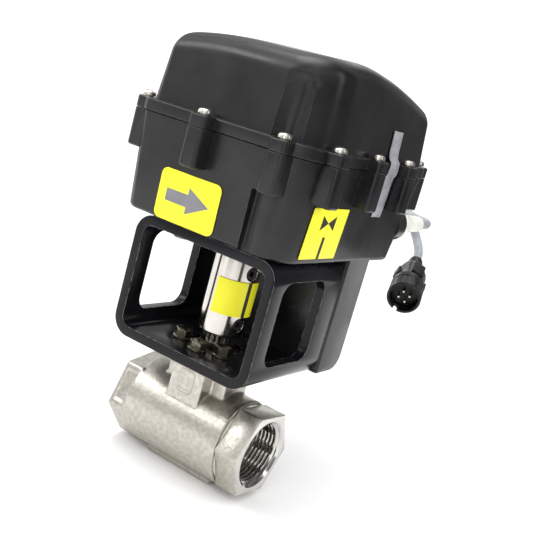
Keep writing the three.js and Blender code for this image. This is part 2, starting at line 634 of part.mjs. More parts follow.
function makeBase() {
  const shell = loft([
    level(inset(BASE_FOOT, 1.6), BASE.z0),
    level(BASE_FOOT, BASE.z0 + 2.4),
    level(BASE_RIM, BASE.z1),
  ]);
  const lobes = COVER_SCREWS.map((at) => screwLobe(at, BOSS_BOTTOM, BASE.z1));
  const glandPad = moved(alongY(disc(9.2, 77, GLAND.y0 - GAP, 20)), GLAND.x, 0, GLAND.z);
  const outer = join(shell, ...lobes, glandPad, legSolid(0, LEG.z0, BASE.z0 + 3));
  const hollow = loft([
    level(inset(BASE_FOOT, WALL), BASE.z0 + WALL),
    level(inset(SEAL_LINE, WALL), BASE.z1 + 1),
  ]);
  const { x0, x1, depthY } = RECESS;
  const corner = roundedBlock(x0, x1, -50, depthY, 1.5, BASE.z0 - 1, BOSS_BOTTOM);
  const backing = block(x0 - WALL, x1 + WALL, -50, depthY + WALL - GAP, BASE.z0, BOSS_BOTTOM + WALL - 1);
  const screws = housingScrewPlaces().map(([x, y]) => moved(disc(5, 102, 104.2, 12), x, y, 0));
  const screwBores = housingScrewPlaces().map(([x, y]) => moved(disc(2.6, 99, 105, 10), x, y, 0));
  const axles = [idler1, idler2].map(([x, y]) => moved(disc(1.9, 101, 104, 12), x, y, 0));
  const hollowed = cut(outer, hollow.subtract(backing), legSolid(WALL, LEG.z0 + WALL, BASE.z0 + 9), corner);
  return cut(
    join(hollowed, ...screws),
    disc(9.4, BASE.z0 - 1, BASE.z0 + WALL + 1),
    ...screwBores,
    ...axles,
    ...screwHoles(131, BASE.z1 + 1),
    moved(alongY(disc(3.6, 76, GLAND.y0 + 1, 12)), GLAND.x, 0, GLAND.z),
  );
}

// The cover's top: highest near its middle, falling a little to the front and left and more to the back.
function crownHeight(x, y) {
  const back = Math.max(0, y / DOME_FOOT.y1) ** CROWN_LEVEL.backPower;
  const front = Math.max(0, (CROWN_LEVEL.front - y) / (CROWN_LEVEL.front - DOME_FOOT.y0)) ** 2;
  const left = Math.max(0, (CROWN_LEVEL.left - x) / (CROWN_LEVEL.left - DOME_FOOT.x0)) ** 2;
  return DOME_CROWN - CROWN_FALL.back * back - CROWN_FALL.front * front - CROWN_FALL.left * left;
}

// Rings that climb the cover's wall, turn over its edge on a quarter circle and close on the crown.
function domeRings(thin, floor, steps) {
  const foot = inset(DOME_FOOT, thin);
  const rings = [level(foot, floor, steps)];
  const radius = DOME_EDGE - thin;
  const draft = 2.2;
  const turnSteps = 5;
  for (let k = 0; k <= turnSteps; k++) {
    const angle = degrees((90 * k) / turnSteps);
    const shrink = draft + radius * (1 - Math.cos(angle));
    const drop = thin + radius * (1 - Math.sin(angle));
    rings.push(outline(inset(foot, shrink), steps).map(([x, y]) => [x, y, crownHeight(x, y) - drop]));
  }
  for (const part of [0.6, 0.25]) {
    const edge = outline(inset(foot, draft + radius), steps);
    const cx = (foot.x0 + foot.x1) / 2;
    const cy = (foot.y0 + foot.y1) / 2;
    rings.push(edge.map(([x, y]) => {
      const px = cx + (x - cx) * part;
      const py = cy + (y - cy) * part;
      return [px, py, crownHeight(px, py) - thin];
    }));
  }
  return rings;
}

// The upright channel that lets a driver reach the front corner screw.
function screwChannel(radius) {
  const [x, y] = COVER_SCREWS[2];
  return join(
    moved(disc(radius, COVER.z1, 178, 20), x - 1.5, y + 1, 0),
    moved(solid(new THREE.SphereGeometry(radius, 20, 12)), x - 1.5, y + 1, 178),
  );
}

function makeCover() {
  const flange = loft([
    level(inset(BASE_RIM, -RIM_LIP), COVER.z0),
    level(inset(BASE_RIM, -RIM_LIP), COVER.z1 - 1),
    level(inset(BASE_RIM, -RIM_LIP + 0.8), COVER.z1),
  ]);
  const lobes = COVER_SCREWS.map((at) => screwLobe(at, COVER.z0, COVER.z1));
  const outer = join(flange, ...lobes, loft(domeRings(0, COVER.z1 - 2, 5)));
  const hollow = join(
    loft(domeRings(SKIN, COVER.z0 - 1, 4)).subtract(screwChannel(8 + SKIN)),
    loft([level(inset(SEAL_LINE, WALL + 1), COVER.z0 - 1), level(inset(SEAL_LINE, WALL + 1), COVER.z0 + 2)]),
  );
  return cut(outer, hollow, screwChannel(8), ...screwHoles(COVER.z0 - 1, COVER.z1 + 1));
}

function makeCoverScrew() {
  return join(
    revolve([[0, 0], [3.3, 0], [3.2, 1.6], [2.3, 2.4], [0, 2.7]], 16),
    disc(1.9, -20, 0.5, 8),
  );
}

// A thin plate that leans with a drafted wall: local X along the wall, local Y up, local Z outwards.
function addLabel(name, body, finish, origin, right, up) {
  const out = new THREE.Vector3().crossVectors(right, up);
  const mesh = addPiece(name, body, finish);
  mesh.quaternion.setFromRotationMatrix(new THREE.Matrix4().makeBasis(right, up, out));
  mesh.position.set(...origin);
}

function makeArrowLabel() {
  const plate = extrudeZ(roundedRect(-18, 18, -12.2, 12.2, 3.4), 0, 0.4);
  const arrow = polygon([[-13, -3], [0, -3], [0, -6.4], [13, 0], [0, 6.4], [0, 3], [-13, 3]]);
  return join(plate, extrudeZ(arrow, 0.3, 0.6));
}

function makePositionLabel() {
  const plate = extrudeZ(roundedRect(-16.7, 16.7, -12.4, 12.4, 0.4), 0, 0.4);
  return join(plate, block(-1.2, 1.2, -12.4, 0, 0.3, 0.6));
}

// The tape's path in X and Z, from the base wall over the rim to the cover wall.
function makeSealTape() {
  const path = [
    [44.6, 125], [45.7, 146], [46.8, 147.8], [46.8, 153.2], [46, 154.2], [44.6, 156.6], [43.7, 169],
  ];
  const back = path.map(([x, z]) => [x + 0.5, z + 0.1]).reverse();
  const flat = extrudeZ(polygon([...path, ...back]), -48.5, -37.5);
  return placed(flat, new THREE.Matrix4().makeRotationX(Math.PI / 2));
}

function addHousing() {
  addPiece("housing_base", makeBase(), BLACK_PLASTIC);
  const seal = cut(
    loft([level(inset(SEAL_LINE, 0.8), BASE.z1 + 0.05), level(inset(SEAL_LINE, 0.8), COVER.z0 - 0.05)]),
    loft([level(inset(SEAL_LINE, 2.6), BASE.z1), level(inset(SEAL_LINE, 2.6), COVER.z0)]),
  );
  addPiece("housing_gasket", seal, RUBBER);
  addPiece("housing_cover", makeCover(), BLACK_PLASTIC);
  COVER_SCREWS.forEach(([x, y], i) => {
    addPiece(`cover_screw_${i + 1}`, makeCoverScrew(), POLISHED_STEEL).position.set(x, y, COVER.z1 + GAP);
  });
  const frontUp = new THREE.Vector3(0, BASE_RIM.y0 - BASE_FOOT.y0, BASE.z1 - BASE.z0 - 2.4).normalize();
  const sideUp = new THREE.Vector3(BASE_RIM.x1 - BASE_FOOT.x1, 0, BASE.z1 - BASE.z0 - 2.4).normalize();
  const frontAt = [-13.3, BASE_FOOT.y0 - 0.7, 112.8];
  const sideAt = [BASE_FOOT.x1 + 1.05, -4.4, 115.6];
  addLabel("arrow_label", makeArrowLabel(), YELLOW, frontAt, new THREE.Vector3(1, 0, 0), frontUp);
  addLabel("position_label", makePositionLabel(), YELLOW, sideAt, new THREE.Vector3(0, 1, 0), sideUp);
  addPiece("seal_tape", makeSealTape(), SILVER_TAPE);
}

// ---------- gland, cable, connector ----------

function makeGland() {
  const { y0, y1 } = GLAND;
  const nose = revolve([
    [0, y0 + 3], [7.8, y0 + 3], [7.8, y0 + 8], [7, y0 + 10.5], [5.2, y0 + 12], [4.6, y1], [0, y1],
  ], 20);
  return moved(alongY(join(extrudeZ(hexagon(16), y0, y0 + 4.5), nose)), GLAND.x, 0, GLAND.z);
}

function makeCable() {
  const curve = new THREE.CatmullRomCurve3(CABLE_ROUTE.map((p) => new THREE.Vector3(...p)), false, "centripetal");
  const section = new THREE.Shape().absarc(0, 0, CABLE_R, 0, 2 * Math.PI);
  return solid(new THREE.ExtrudeGeometry(section, { steps: 44, curveSegments: 4, extrudePath: curve }));
}

// The connector's parts are made along Z, from its cable end at 0 to its open face.
function makeConnectorBody() {
  const shell = revolve([
    [0, 0], [4.2, 0], [5.2, 10], [7.6, 15], [8.4, 22], [9.6, 24], [9.6, 38], [10.5, 39],
    [10.5, CONNECTOR_LENGTH], [0, CONNECTOR_LENGTH],
  ]);
  return cut(shell, disc(8.8, CONNECTOR_LENGTH - 12, CONNECTOR_LENGTH + 1));
}

function makePinInsert() {
  const face = CONNECTOR_LENGTH - 7;
  const pins = [0, 1, 2, 3].map((i) => {
    const angle = degrees(90 * i + PIN_TURN);
    return moved(disc(0.9, face - 1, face + 5, 8), 3.4 * Math.cos(angle), 3.4 * Math.sin(angle), 0);
  });
  return join(disc(8.5, CONNECTOR_LENGTH - 11.7, face), ...pins);
}

function addCable() {
  addPiece("cable_gland", makeGland(), WHITE_PLASTIC);
  addPiece("cable", makeCable(), GREY_CABLE);
  const connector = new THREE.Group();
  connector.quaternion.setFromUnitVectors(new THREE.Vector3(0, 0, 1), CONNECTOR_AXIS);
  connector.position.set(...CABLE_ROUTE.at(-1)).addScaledVector(CONNECTOR_AXIS, 0.5);
  addPiece("connector_body", makeConnectorBody(), RUBBER, connector);
  addPiece("pin_insert", makePinInsert(), RUBBER, connector);
  group.add(connector);
}

addValve();
addBracket();
addDrive();
addInside();
addHousing();
addCable();

export default group;
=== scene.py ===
"""Looks of a motorized quarter-turn valve actuator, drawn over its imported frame.

Shapes are written in millimetres and scaled to metres once, in mesh_piece. +Z is up, the valve's
pipe runs along X, and the origin is where the stem's axis crosses the pipe's.
"""
import math

import bmesh
import bpy
from mathutils import Matrix, Vector


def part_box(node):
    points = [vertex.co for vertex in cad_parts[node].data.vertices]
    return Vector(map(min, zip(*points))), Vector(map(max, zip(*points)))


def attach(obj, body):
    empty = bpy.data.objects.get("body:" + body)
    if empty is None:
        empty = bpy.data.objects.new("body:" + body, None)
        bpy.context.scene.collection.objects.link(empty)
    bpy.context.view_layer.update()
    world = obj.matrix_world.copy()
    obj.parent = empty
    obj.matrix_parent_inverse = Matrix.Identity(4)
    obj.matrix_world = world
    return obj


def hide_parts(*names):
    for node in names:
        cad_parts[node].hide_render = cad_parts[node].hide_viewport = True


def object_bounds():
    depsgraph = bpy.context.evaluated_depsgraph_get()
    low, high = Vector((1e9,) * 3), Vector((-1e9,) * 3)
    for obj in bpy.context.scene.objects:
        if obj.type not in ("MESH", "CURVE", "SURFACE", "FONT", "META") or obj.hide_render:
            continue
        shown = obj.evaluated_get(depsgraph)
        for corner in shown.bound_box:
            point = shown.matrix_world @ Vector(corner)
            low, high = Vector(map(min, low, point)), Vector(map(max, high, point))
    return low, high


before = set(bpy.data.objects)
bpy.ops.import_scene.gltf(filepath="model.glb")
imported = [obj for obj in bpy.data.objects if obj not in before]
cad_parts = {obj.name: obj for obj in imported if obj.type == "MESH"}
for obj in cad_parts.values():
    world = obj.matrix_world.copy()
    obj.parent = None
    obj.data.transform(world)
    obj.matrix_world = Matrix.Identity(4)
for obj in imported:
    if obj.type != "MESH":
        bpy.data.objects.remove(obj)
cad_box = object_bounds()

MM = 0.001
QUARTER = math.pi / 2

# ---------- camera ----------

CAMERA_AT = Vector((223.7, -351.6, 173.1)) * MM
CAMERA_AIM = Vector((-0.498, 0.844, -0.200))
CAMERA_ROLL = math.radians(15.6)
CAMERA_LENS = 57.5


def add_camera():
    data = bpy.data.cameras.new("camera")
    data.lens = CAMERA_LENS
    data.sensor_width = 36
    data.clip_start = 0.01
    camera = bpy.data.objects.new("camera", data)
    bpy.context.scene.collection.objects.link(camera)
    turn = CAMERA_AIM.to_track_quat("-Z", "Y").to_matrix().to_4x4()
    camera.matrix_world = Matrix.Translation(CAMERA_AT) @ turn @ Matrix.Rotation(CAMERA_ROLL, 4, "Z")
    bpy.context.scene.camera = camera


add_camera()

# ---------- meshes ----------


def mesh_piece(name, points, faces):
    mesh = bpy.data.meshes.new(name)
    mesh.from_pydata([Vector(p) * MM for p in points], [], faces)
    piece = bpy.data.objects.new(name, mesh)
    bpy.context.scene.collection.objects.link(piece)
    work = bmesh.new()
    work.from_mesh(mesh)
    bmesh.ops.remove_doubles(work, verts=work.verts, dist=1e-6)
    bmesh.ops.recalc_face_normals(work, faces=work.faces)
    work.to_mesh(mesh)
    work.free()
    return piece


def loft(name, rings, closed=False):
    """A skin over rings of equal count: capped at both ends, or joined end to start when closed."""
    count = len(rings[0])
    faces = []
    for k in range(len(rings) - (0 if closed else 1)):
        low, high = k * count, (k + 1) % len(rings) * count
        faces += [(low + i, low + (i + 1) % count, high + (i + 1) % count, high + i) for i in range(count)]
    if not closed:
        faces.append(tuple(reversed(range(count))))
        faces.append(tuple(range((len(rings) - 1) * count, len(rings) * count)))
    return mesh_piece(name, [p for ring in rings for p in ring], faces)


# ---------- the cable ----------

CABLE_RADIUS = 3
CABLE_ROUTE = [
    (36, 122.3, 119.5), (36, 126.6, 119.5), (36, 131, 119.5), (34.9, 138.4, 119.4), (31.8, 145.4, 119),
    (27.3, 152.2, 118.6), (21.8, 159, 118.1), (15.8, 166, 117.7), (9.7, 173.6, 117.5), (4, 182, 117.5),
    (1.9, 186.5, 117), (1, 190.7, 115.5), (1.2, 194.4, 113.2), (2.2, 197.3, 110.3), (3.9, 199.4, 107),
    (6.1, 200.5, 103.5), (8.6, 200.3, 99.9), (11.3, 198.7, 96.6), (13.9, 195.5, 93.7),
    (16.3, 190.5, 91.5), (19.3, 182.4, 88.9),
]


def smooth_path(route, steps=6):
    """A centripetal Catmull-Rom curve through the route, as closely spaced points."""
    points = [Vector(p) for p in route]
    points = [2 * points[0] - points[1], *points, 2 * points[-1] - points[-2]]
    path = []
    for a, b, c, d in zip(points, points[1:], points[2:], points[3:]):
        gaps = [math.sqrt((q - p).length) for p, q in ((a, b), (b, c), (c, d))]
        out = ((b - a) / gaps[0] - (c - a) / (gaps[0] + gaps[1])) * gaps[1] + (c - b)
        into = ((d - c) / gaps[2] - (d - b) / (gaps[1] + gaps[2])) * gaps[1] + (c - b)
        for k in range(steps):
            t = k / steps
            path.append(b * (2 * t**3 - 3 * t**2 + 1) + out * (t**3 - 2 * t**2 + t)
                        + c * (3 * t**2 - 2 * t**3) + into * (t**3 - t**2))
    return [*path, points[-2]]


def add_tube(name, path, radius, sides=24):
    """A round tube whose rings are carried along the path without twisting."""
    rings = []
    side = Vector((0, 0, 1))
    for k, at in enumerate(path):
        along = (path[min(k + 1, len(path) - 1)] - path[max(k - 1, 0)]).normalized()
        side = (side - side.dot(along) * along).normalized()
        other = along.cross(side)
        angles = [2 * math.pi * i / sides for i in range(sides)]
        rings.append([at + radius * (math.cos(a) * side + math.sin(a) * other) for a in angles])
    return loft(name, rings)


cable_path = smooth_path(CABLE_ROUTE)
cable = add_tube("cable_sheath", cable_path, CABLE_RADIUS)

# ---------- materials ----------


def add_noise(tree, where, scale, detail=3.0, stretch=(1, 1, 1)):
    mapping = tree.nodes.new("ShaderNodeMapping")
    mapping.inputs["Scale"].default_value = stretch
    tree.links.new(where, mapping.inputs["Vector"])
    noise = tree.nodes.new("ShaderNodeTexNoise")
    noise.inputs["Scale"].default_value = scale
    noise.inputs["Detail"].default_value = detail
    tree.links.new(mapping.outputs["Vector"], noise.inputs["Vector"])
    return noise.outputs["Fac"]


def remap(tree, value, low, high, to_low=0.0, to_high=1.0):
    node = tree.nodes.new("ShaderNodeMapRange")
    for socket, number in (("From Min", low), ("From Max", high), ("To Min", to_low), ("To Max", to_high)):
        node.inputs[socket].default_value = number
    tree.links.new(value, node.inputs["Value"])
    return node.outputs["Result"]


COLOUR_A, COLOUR_B, COLOUR_RESULT = 6, 7, 2  # a mix node's colour sockets, whose names repeat


def blend_colour(tree, factor, first, second):
    node = tree.nodes.new("ShaderNodeMix")
    node.data_type = "RGBA"
    tree.links.new(factor, node.inputs["Factor"])
    for socket, colour in ((node.inputs[COLOUR_A], first), (node.inputs[COLOUR_B], second)):
        if isinstance(colour, tuple):
            socket.default_value = (*colour, 1)
        else:
            tree.links.new(colour, socket)
    return node.outputs[COLOUR_RESULT]


def edge_mask(tree, width, breakup):
    """1 on edges, 0 on open faces, broken up by a noise; it carries rubbed wear, and on the bracket a painted
    edge highlight.
    """
    rounded_normal = tree.nodes.new("ShaderNodeBevel")
    rounded_normal.samples = 4
    rounded_normal.inputs["Radius"].default_value = width * MM
    true_normal = tree.nodes.new("ShaderNodeNewGeometry")
    dot = tree.nodes.new("ShaderNodeVectorMath")
    dot.operation = "DOT_PRODUCT"
    tree.links.new(rounded_normal.outputs["Normal"], dot.inputs[0])
    tree.links.new(true_normal.outputs["Normal"], dot.inputs[1])
    edge = remap(tree, dot.outputs["Value"], 0.99, 0.85)
    product = tree.nodes.new("ShaderNodeMath")
    product.operation = "MULTIPLY"
    tree.links.new(edge, product.inputs[0])
    tree.links.new(remap(tree, breakup, 0.35, 0.6), product.inputs[1])
    return product.outputs["Value"]


def surface(name, colour, tint, roughness, metallic=0.0, patch=40, smear=0.08, smear_size=25,
            grain=0.004, grain_size=0.3, stretch=(1, 1, 1), edge_wear_and_highlight=None, edge_wear_and_highlight_width=0.5, fixed=None):
    """A finish with patchy colour, smeared gloss, a fine grain and, if asked for, lighter edges: rubbed wear,
    and on the bracket a painted edge highlight.

    patch, smear_size and grain_size are feature sizes in millimetres, which 1000 over the size turns into
    a noise's scale per metre. grain is the grain's height, and fixed holds numbers for shader sockets.
    """
    material = bpy.data.materials.new(name)
    material.use_nodes = True
    tree = material.node_tree
    shader = tree.nodes["Principled BSDF"]
    shader.inputs["Metallic"].default_value = metallic
    for socket, number in (fixed or {}).items():
        shader.inputs[socket].default_value = number
    where = tree.nodes.new("ShaderNodeTexCoord").outputs["Object"]
    patches = add_noise(tree, where, 1000 / patch, 4)
    paint = blend_colour(tree, remap(tree, patches, 0.35, 0.65), colour, tint)
    if edge_wear_and_highlight:
        breakup = add_noise(tree, where, 1000 / 3, 3)
        paint = blend_colour(tree, edge_mask(tree, edge_wear_and_highlight_width, breakup), paint, edge_wear_and_highlight)
    tree.links.new(paint, shader.inputs["Base Color"])
    smears = add_noise(tree, where, 1000 / smear_size, 5, stretch)
    gloss = remap(tree, smears, 0.3, 0.7, max(roughness - smear, 0.03), roughness + smear)
    tree.links.new(gloss, shader.inputs["Roughness"])
    bump = tree.nodes.new("ShaderNodeBump")
    bump.inputs["Distance"].default_value = grain * MM
    tree.links.new(add_noise(tree, where, 1000 / grain_size, 2, stretch), bump.inputs["Height"])
    tree.links.new(bump.outputs["Normal"], shader.inputs["Normal"])
    return material


HOUSING = surface("moulded_housing", (0.0055, 0.0055, 0.0065), (0.017, 0.0165, 0.018), 0.29, smear=0.12,
                  grain=0.008, grain_size=0.45, edge_wear_and_highlight=(0.07, 0.07, 0.075), edge_wear_and_highlight_width=0.6,
                  fixed={"Specular IOR Level": 0.38})
# The bracket's light grey edge colour is a painted highlight: it stands in for the gloss along its edges.
ANODISED = surface("black_anodised", (0.0045, 0.0045, 0.006), (0.009, 0.009, 0.011), 0.20, smear=0.06,
                   grain=0.002, grain_size=0.25, edge_wear_and_highlight=(0.34, 0.34, 0.37), edge_wear_and_highlight_width=0.4,
                   fixed={"Specular IOR Level": 0.22})
CAST = surface("blasted_casting", (0.57, 0.545, 0.49), (0.45, 0.43, 0.38), 0.36, 1.0, patch=2.2,
               smear=0.07, smear_size=6, grain=0.10, grain_size=0.9, edge_wear_and_highlight=(0.90, 0.88, 0.84))
MACHINED = surface("machined_steel", (0.70, 0.69, 0.66), (0.60, 0.58, 0.55), 0.16, 1.0, patch=12,
                   smear=0.05, grain=0.002, grain_size=0.2)
POLISHED = surface("polished_steel", (0.64, 0.61, 0.57), (0.52, 0.49, 0.45), 0.13, 1.0, patch=20,
                   smear=0.05, smear_size=10, grain=0.0015, grain_size=0.2, stretch=(1, 1, 0.08))
BRIGHT_SCREW = surface("bright_screw", (0.80, 0.77, 0.71), (0.66, 0.62, 0.55), 0.26, 1.0, patch=4,
                       smear=0.08, smear_size=3, grain=0.002, grain_size=0.2)
DARK_STEEL = surface("oiled_steel", (0.24, 0.22, 0.17), (0.13, 0.12, 0.09), 0.28, 1.0, patch=3,
                     smear=0.10, smear_size=3, grain=0.006, grain_size=0.3, edge_wear_and_highlight=(0.5, 0.47, 0.38))
YELLOW = surface("yellow_vinyl", (0.96, 0.90, 0.02), (0.90, 0.83, 0.015), 0.42, patch=18, smear=0.08,
                 grain=0.001, grain_size=0.4)
PRINT_GREY = surface("grey_print", (0.20, 0.20, 0.22), (0.17, 0.17, 0.19), 0.45, patch=10, grain=0.001)
PRINT_BLACK = surface("black_print", (0.012, 0.011, 0.010), (0.022, 0.020, 0.018), 0.4, patch=10,
                      grain=0.001)
TAPE = surface("silver_tape", (0.46, 0.47, 0.50), (0.34, 0.35, 0.37), 0.34, 0.35, patch=6, smear=0.12,
               smear_size=4, grain=0.02, grain_size=1.2)
WHITE = surface("white_polymer", (0.80, 0.79, 0.75), (0.72, 0.71, 0.66), 0.45, patch=10, grain=0.002)
GLAND_WHITE = surface("gland_polymer", (0.80, 0.80, 0.74), (0.66, 0.66, 0.60), 0.42, patch=6, grain=0.003)
RUBBER = surface("black_rubber", (0.012, 0.012, 0.012), (0.022, 0.021, 0.020), 0.6, patch=8, smear=0.1,
                 grain=0.006, grain_size=0.4)
MOULDING = surface("connector_moulding", (0.004, 0.004, 0.0045), (0.009, 0.009, 0.009), 0.25, patch=6,
                   smear=0.08, smear_size=5, grain=0.004, grain_size=0.3, edge_wear_and_highlight=(0.09, 0.09, 0.09),
                   fixed={"Specular IOR Level": 0.25})
SHEATH = surface("cable_sheath", (0.27, 0.29, 0.31), (0.36, 0.38, 0.40), 0.42, patch=7, smear=0.08,
                 smear_size=5, grain=0.006, grain_size=0.5)
PIN_METAL = surface("pin_metal", (0.78, 0.74, 0.66), (0.66, 0.62, 0.54), 0.25, 1.0, patch=2, grain=0.001)
BRASS = surface("brass", (0.72, 0.52, 0.22), (0.60, 0.42, 0.16), 0.3, 1.0, patch=3, grain=0.002)
BOARD = surface("board_lacquer", (0.02, 0.16, 0.06), (0.015, 0.11, 0.04), 0.35, patch=12, grain=0.002)
CAN = surface("motor_can", (0.50, 0.50, 0.49), (0.38, 0.38, 0.37), 0.3, 1.0, patch=12, grain=0.003)
ZINC = surface("galvanised_sheet", (0.60, 0.61, 0.62), (0.44, 0.45, 0.47), 0.38, 1.0, patch=8,
               grain=0.004, grain_size=0.8)

# ---------- modelling kit, in millimetres ----------

LAID_ALONG_X = Matrix.Rotation(QUARTER, 4, "Y")
LAID_ALONG_Y = Matrix.Rotation(-QUARTER, 4, "X")


def lathe(name, profile, sides=64):
    """Turns [radius, height] points about Z. A profile that leaves the axis open is a closed ring."""
    ring = profile[0][0] > 0
    angles = [2 * math.pi * i / sides for i in range(sides)]
    rings = [[(r * math.cos(a), r * math.sin(a), z) for a in angles] for r, z in profile]
    if ring:
        return loft(name, rings, closed=True)
    inner = rings[1:-1]
    points = [p for part in inner for p in part] + [(0, 0, profile[0][1]), (0, 0, profile[-1][1])]
    bottom, top = len(points) - 2, len(points) - 1
    faces = []
    for i in range(sides):
        j = (i + 1) % sides
        for k in range(len(inner) - 1):
            faces.append((k * sides + i, k * sides + j, (k + 1) * sides + j, (k + 1) * sides + i))
        last = (len(inner) - 1) * sides
        faces += [(bottom, j, i), (last + i, last + j, top)]
    return mesh_piece(name, points, faces)


def cylinder(name, radius, z0, z1, edge=0.0, sides=64):
    """A turned rod whose two ends carry a chamfer, if one is asked for."""
    wall = [(radius, z0), (radius, z1)]
    if edge:
        wall = [(radius - edge, z0), (radius, z0 + edge), (radius, z1 - edge), (radius - edge, z1)]
    return lathe(name, [(0, z0), *wall, (0, z1)], sides)


def prism(name, outline, z0, z1):
    return loft(name, [[(x, y, z) for x, y in outline] for z in (z0, z1)])


def rounded(rect, steps=8, along=1):
    """A rounded rectangle's outline, with its straight sides in `along` parts.

    A sixth number in the rectangle is the front right corner's own radius.
    """
    x0, x1, y0, y1, r = rect[:5]
    front = rect[-1] if len(rect) > 5 else r
    corners = ((x1 - front, y0 + front, -1, front), (x1 - r, y1 - r, 0, r),
               (x0 + r, y1 - r, 1, r), (x0 + r, y0 + r, 2, r))
    points = []
    for cx, cy, start, radius in corners:
        arc = [(cx + radius * math.cos(QUARTER * (start + i / steps)),
                cy + radius * math.sin(QUARTER * (start + i / steps))) for i in range(steps + 1)]
        if points and along > 1:
            points += between(points[-1], arc[0], along)
        points += arc
    return points + (between(points[-1], points[0], along) if along > 1 else [])


def between(a, b, parts):
    return [(a[0] + (b[0] - a[0]) * k / parts, a[1] + (b[1] - a[1]) * k / parts) for k in range(1, parts)]


def inset(rect, d):
    x0, x1, y0, y1, *radii = rect
    return (x0 + d, x1 - d, y0 + d, y1 - d, *(max(r - d, 0.2) for r in radii))


def level(rect, z, steps=8, along=1):
    return [(x, y, z) for x, y in rounded(rect, steps, along)]


def slab(name, rect, z0, z1, low=0.0, high=0.0, steps=8):
    """A rounded block whose bottom and top edges are rounded by low and high."""
    turns = [(math.sin(QUARTER * k / 4), math.cos(QUARTER * k / 4)) for k in range(5)]
    rings = []
    for sine, cosine in turns if low else turns[-1:]:
        rings.append(level(inset(rect, low * (1 - sine)), z0 + low * (1 - cosine), steps))
    for sine, cosine in turns if high else turns[:1]:
        rings.append(level(inset(rect, high * (1 - cosine)), z1 - high * (1 - sine), steps))
    return loft(name, rings)


def hexagon(flats, turn=0.0):
    corner = flats / math.sqrt(3)
    angles = [math.radians(60 * i + turn) for i in range(6)]
    return [(corner * math.cos(a), corner * math.sin(a)) for a in angles]


def place(piece, at=(0, 0, 0), turn=Matrix.Identity(4)):
    piece.data.transform(Matrix.Translation(Vector(at) * MM) @ turn)
    return piece


def apply_modifiers(piece):
    graph = bpy.context.evaluated_depsgraph_get()
    made = bpy.data.meshes.new_from_object(piece.evaluated_get(graph), depsgraph=graph)
    piece.modifiers.clear()
    piece.data = made
    return piece


def carve(piece, *tools, how="DIFFERENCE"):
    """Cuts tools from a piece, or joins or intersects them, and uses the tools up."""
    for tool in tools:
        modifier = piece.modifiers.new("carve", "BOOLEAN")
        modifier.object = tool
        modifier.operation = how
        modifier.solver = "MANIFOLD"
    apply_modifiers(piece)
    for tool in tools:
        bpy.data.objects.remove(tool)
    return piece


def weld(piece, *others):
    return carve(piece, *others, how="UNION")


def bevel(piece, width, segments=2, angle=35):
    modifier = piece.modifiers.new("bevel", "BEVEL")
    modifier.width = width * MM
    modifier.segments = segments
    modifier.limit_method = "ANGLE"
    modifier.angle_limit = math.radians(angle)
    return apply_modifiers(piece)


def gather(name, *parts):
    """One mesh of several separate shells."""
    work = bmesh.new()
    for part in parts:
        work.from_mesh(part.data)
        bpy.data.objects.remove(part)
    mesh = bpy.data.meshes.new(name)
    work.to_mesh(mesh)
    work.free()
    piece = bpy.data.objects.new(name, mesh)
    bpy.context.scene.collection.objects.link(piece)
    return piece


def shade(piece, angle=32):
    piece.data.polygons.foreach_set("use_smooth", [True] * len(piece.data.polygons))
    piece.data.set_sharp_from_angle(angle=math.radians(angle))


def settle(piece, material, slot, *nodes, body="housing"):
    """Finishes a piece: its material, the body it rides on and the nodes it stands for. slot is not used."""
    piece.data.name = piece.name
    piece.data.materials.clear()
    piece.data.materials.append(material)
    shade(piece)
    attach(piece, body)
    if nodes:
        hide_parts(*nodes)


def paint(piece, material, chosen):
    """A second material on the faces whose centre, in millimetres, passes the test."""
    piece.data.materials.append(material)
    index = len(piece.data.materials) - 1
    for face in piece.data.polygons:
        if chosen(face.center / MM):
            face.material_index = index


def span(node):
    low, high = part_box(node)
    return low / MM, high / MM


def middle(node):
    low, high = span(node)
    return (low + high) / 2


# ---------- valve ----------

HEX_FLATS = 41
HEX_LEFT_TURN = -9.8
HEX_RIGHT_TURN = 5
FACET_CLIMB = math.radians(30 + HEX_LEFT_TURN)  # of the left hexagon's upper front face
LEFT_HEX_END = -29
BODY_END = 28.6
CAP_SHOULDER = 29.8
CAP_PLUG_START = 19.7
BARREL_R = 22.8
CREST_R = 15.2
ROOT_R = 16.8
PITCH = 2.2
THREAD_FLAT = 0.12  # of the pitch, at the crest and at the root
LEAD = 2.2
THREAD_ENDS = (-23, 24)
MACHINED_TO = -20  # in the body's left end
PORT_R = 10.5
CHAMBER_R = 17.6
CHAMBER_LEFT = -19.4
NECK = {"width": 20, "x": 18.5, "y": 18.3, "z0": 5, "z1": 32.5}
PAD = (-19.5, 19.5, -22, 19.5, 5)
PAD_BOTTOM = 32
FOOT = (-20, 23, -9, 9, 2)
FOOT_TOP = -17
NECK_PANEL = {"z": 24.5, "size": (9.5, 11), "depth": 0.9}
HEX_PANEL = {"x": -35.2, "size": (7, 17), "depth": 0.8}
STEM_R = 6.2
STEM_BORE_R = STEM_R + 0.3
PACKING_BORE_R = 8.9
VALVE_VOXEL = 0.5


def thread_cutter(x0, x1):
    """A rod whose wall rises and falls along a helix, to leave a pipe thread in a bore."""
    sides, per_turn = 72, 8
    rings = []
    for k in range(round((x1 - x0) / PITCH * per_turn) + 1):
        x = x0 + k * PITCH / per_turn
        ring = []
        for i in range(sides):
            phase = (x / PITCH - i / sides) % 1
            rise = (1 - abs(2 * phase - 1) - THREAD_FLAT) / (1 - 2 * THREAD_FLAT)
            r = CREST_R + (ROOT_R - CREST_R) * min(max(rise, 0), 1)
            angle = 2 * math.pi * i / sides
            ring.append((r * math.cos(angle), r * math.sin(angle), x))
        rings.append(ring)
    return place(loft("thread_cutter", rings), turn=LAID_ALONG_X)


